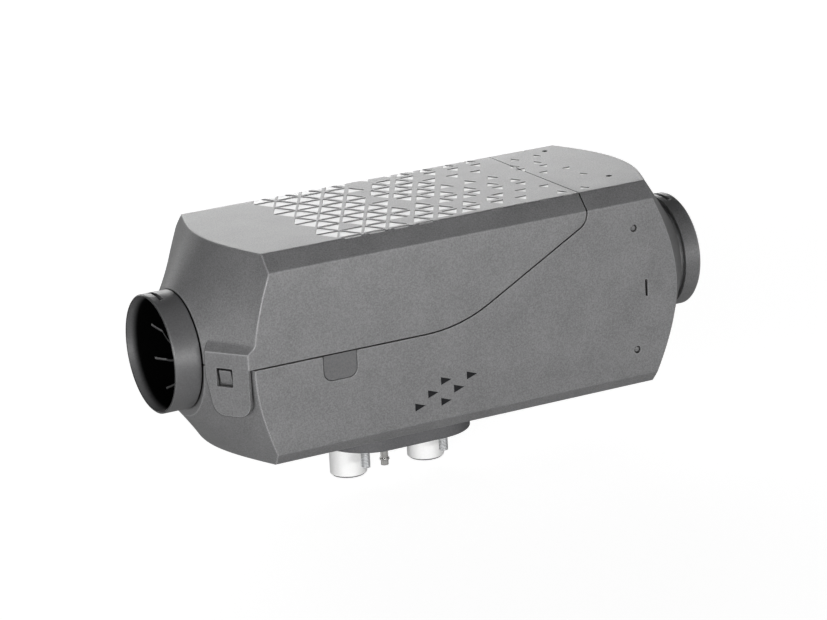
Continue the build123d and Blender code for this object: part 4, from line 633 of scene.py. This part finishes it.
bpy.ops.object.select_all(action="DESELECT")
bpy.ops.mesh.primitive_plane_add(size=THREAD_PITCH, location=(STUD_R, 0, STUD_END - THREAD_PITCH),
                                 rotation=(pi / 2, 0, 0))
thread = bpy.context.object
bpy.ops.object.transform_apply(location=True, rotation=True, scale=True)
bpy.ops.object.mode_set(mode="EDIT")
bpy.ops.mesh.delete(type="ONLY_FACE")
choose(thread, "VERT", lambda corner: corner.co.x > STUD_R)
bpy.ops.transform.resize(value=(1, 1, THREAD_CREST))
bpy.ops.transform.translate(value=(-THREAD_PITCH / 2, 0, 0))


def inner_side(side):
    """True for the side of the thread's profile that lies inside the stud."""
    ends = [thread.data.vertices[corner].co.x for corner in side.vertices]
    return max(ends) < STUD_R - THREAD_PITCH / 4


choose(thread, "EDGE", inner_side)
bpy.ops.mesh.delete(type="EDGE")
bpy.ops.mesh.select_mode(type="VERT")
bpy.ops.object.mode_set(mode="OBJECT")
turns = thread.modifiers.new("turns", "SCREW")
turns.screw_offset = THREAD_PITCH
turns.iterations = THREAD_TURNS
turns.steps = STUD_SIDES
turns.render_steps = STUD_SIDES
turns.use_merge_vertices = True
turns.merge_threshold = EXACT
bpy.ops.object.modifier_apply(modifier="turns")
bpy.ops.object.mode_set(mode="EDIT")
bpy.ops.mesh.select_all(action="SELECT")
bpy.ops.mesh.remove_doubles(threshold=EXACT)
bpy.ops.mesh.bisect(plane_co=(0, 0, STUD_END), plane_no=(0, 0, 1), use_fill=True, clear_inner=True,
                    threshold=EXACT)
bpy.ops.mesh.select_all(action="SELECT")
bpy.ops.mesh.bisect(plane_co=(0, 0, 0), plane_no=(0, 0, 1), use_fill=True, clear_outer=True,
                    threshold=EXACT)
bpy.ops.mesh.select_all(action="SELECT")
bpy.ops.mesh.normals_make_consistent(inside=False)
bpy.ops.object.mode_set(mode="OBJECT")

bpy.ops.object.select_all(action="DESELECT")
bpy.ops.mesh.primitive_cylinder_add(vertices=STUD_SIDES, radius=ROOT_R, depth=STUD_TOP,
                                    location=(0, 0, STUD_TOP / 2))
root = bpy.context.object
choose(root, "FACE", lambda face: face.normal.z > UPWARD)
bpy.ops.mesh.bevel(offset=ROOT_EDGE, segments=ROOT_EDGE_STEPS)
bpy.ops.mesh.select_mode(type="VERT")
bpy.ops.object.mode_set(mode="OBJECT")
thread.select_set(True)
bpy.ops.object.join()
stud = bpy.context.object
bpy.ops.object.transform_apply(location=True, rotation=True, scale=True)

bpy.ops.object.select_all(action="DESELECT")
for x in (-STUD_X, STUD_X):
    for y in (-STUD_Y, STUD_Y):
        copy = bpy.data.objects.new("stud", stud.data.copy())
        scene.collection.objects.link(copy)
        copy.location = (x, y, 0)
        copy.select_set(True)
        bpy.context.view_layer.objects.active = copy
bpy.data.objects.remove(stud)
bpy.ops.object.join()
studs = bpy.context.object
studs.name = "threaded_studs"
bpy.ops.object.transform_apply(location=True, rotation=True, scale=True)
bpy.ops.object.shade_smooth_by_angle(angle=STUD_SMOOTH)

stud_zinc = grained("stud_zinc", dark=(0.8, 0.81, 0.82), pale=(0.94, 0.95, 0.96),
                    roughness=0.4, size=650.0, depth=0.00003, edge_radius=0.0001, metallic=0.5)
coat(studs, stud_zinc)
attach(studs, "chassis")
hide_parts("mounting_studs")


# ---- Motor ----
# A deep drawn can with ferrite magnets, a laminated armature, a copper commutator and two
# carbon brushes in a moulded holder.
motor_paint = grained("motor_paint", dark=(0.3, 0.3, 0.31), pale=(0.4, 0.4, 0.41),
                      roughness=0.35, size=500.0, edge_highlight=(0.6, 0.6, 0.6))
finish_nodes(motor_paint, "motor_can")
ferrite = grained("ferrite", dark=(0.08, 0.08, 0.085), pale=(0.15, 0.15, 0.16),
                  roughness=0.6, size=1800.0)
finish_nodes(ferrite, "motor_magnets", "motor_brushes")
iron_sheets = grained("iron_sheets", dark=(0.35, 0.34, 0.33), pale=(0.6, 0.58, 0.55),
                      roughness=0.4, size=900.0, metallic=1.0)
finish_nodes(iron_sheets, "armature")
copper = grained("copper", dark=(0.62, 0.34, 0.2), pale=(0.8, 0.5, 0.34),
                 roughness=0.28, size=800.0, depth=0.00002, metallic=1.0)
finish_nodes(copper, "commutator")


# ---- Fan and impeller ----
# The warm air fan, the brush holder and the sockets are black glass filled plastic. The
# combustion air impeller is a shade paler.
fan_plastic = grained("fan_plastic", dark=(0.06, 0.06, 0.062), pale=(0.13, 0.13, 0.133),
                      roughness=0.38, depth=0.00003)
finish_nodes(fan_plastic, "fan_wheel", "brush_ring", "control_sockets")
impeller_plastic = grained("impeller_plastic", dark=(0.11, 0.11, 0.115), pale=(0.19, 0.19, 0.195),
                           roughness=0.42)
finish_nodes(impeller_plastic, "combustion_impeller")


# ---- Control unit ----
# A black moulded box over the motor, with a screwed lid over a green board. The overheat sensor
# is cast in black resin.
unit_plastic = grained("unit_plastic", dark=(0.05, 0.05, 0.052), pale=(0.1, 0.1, 0.103),
                       roughness=0.5)
finish_nodes(unit_plastic, "control_box", "control_lid", "overheat_sensor")
board_green = grained("board_green", dark=(0.02, 0.16, 0.07), pale=(0.05, 0.3, 0.14),
                      roughness=0.3, size=300.0, depth=0.00003)
finish_nodes(board_green, "control_board")
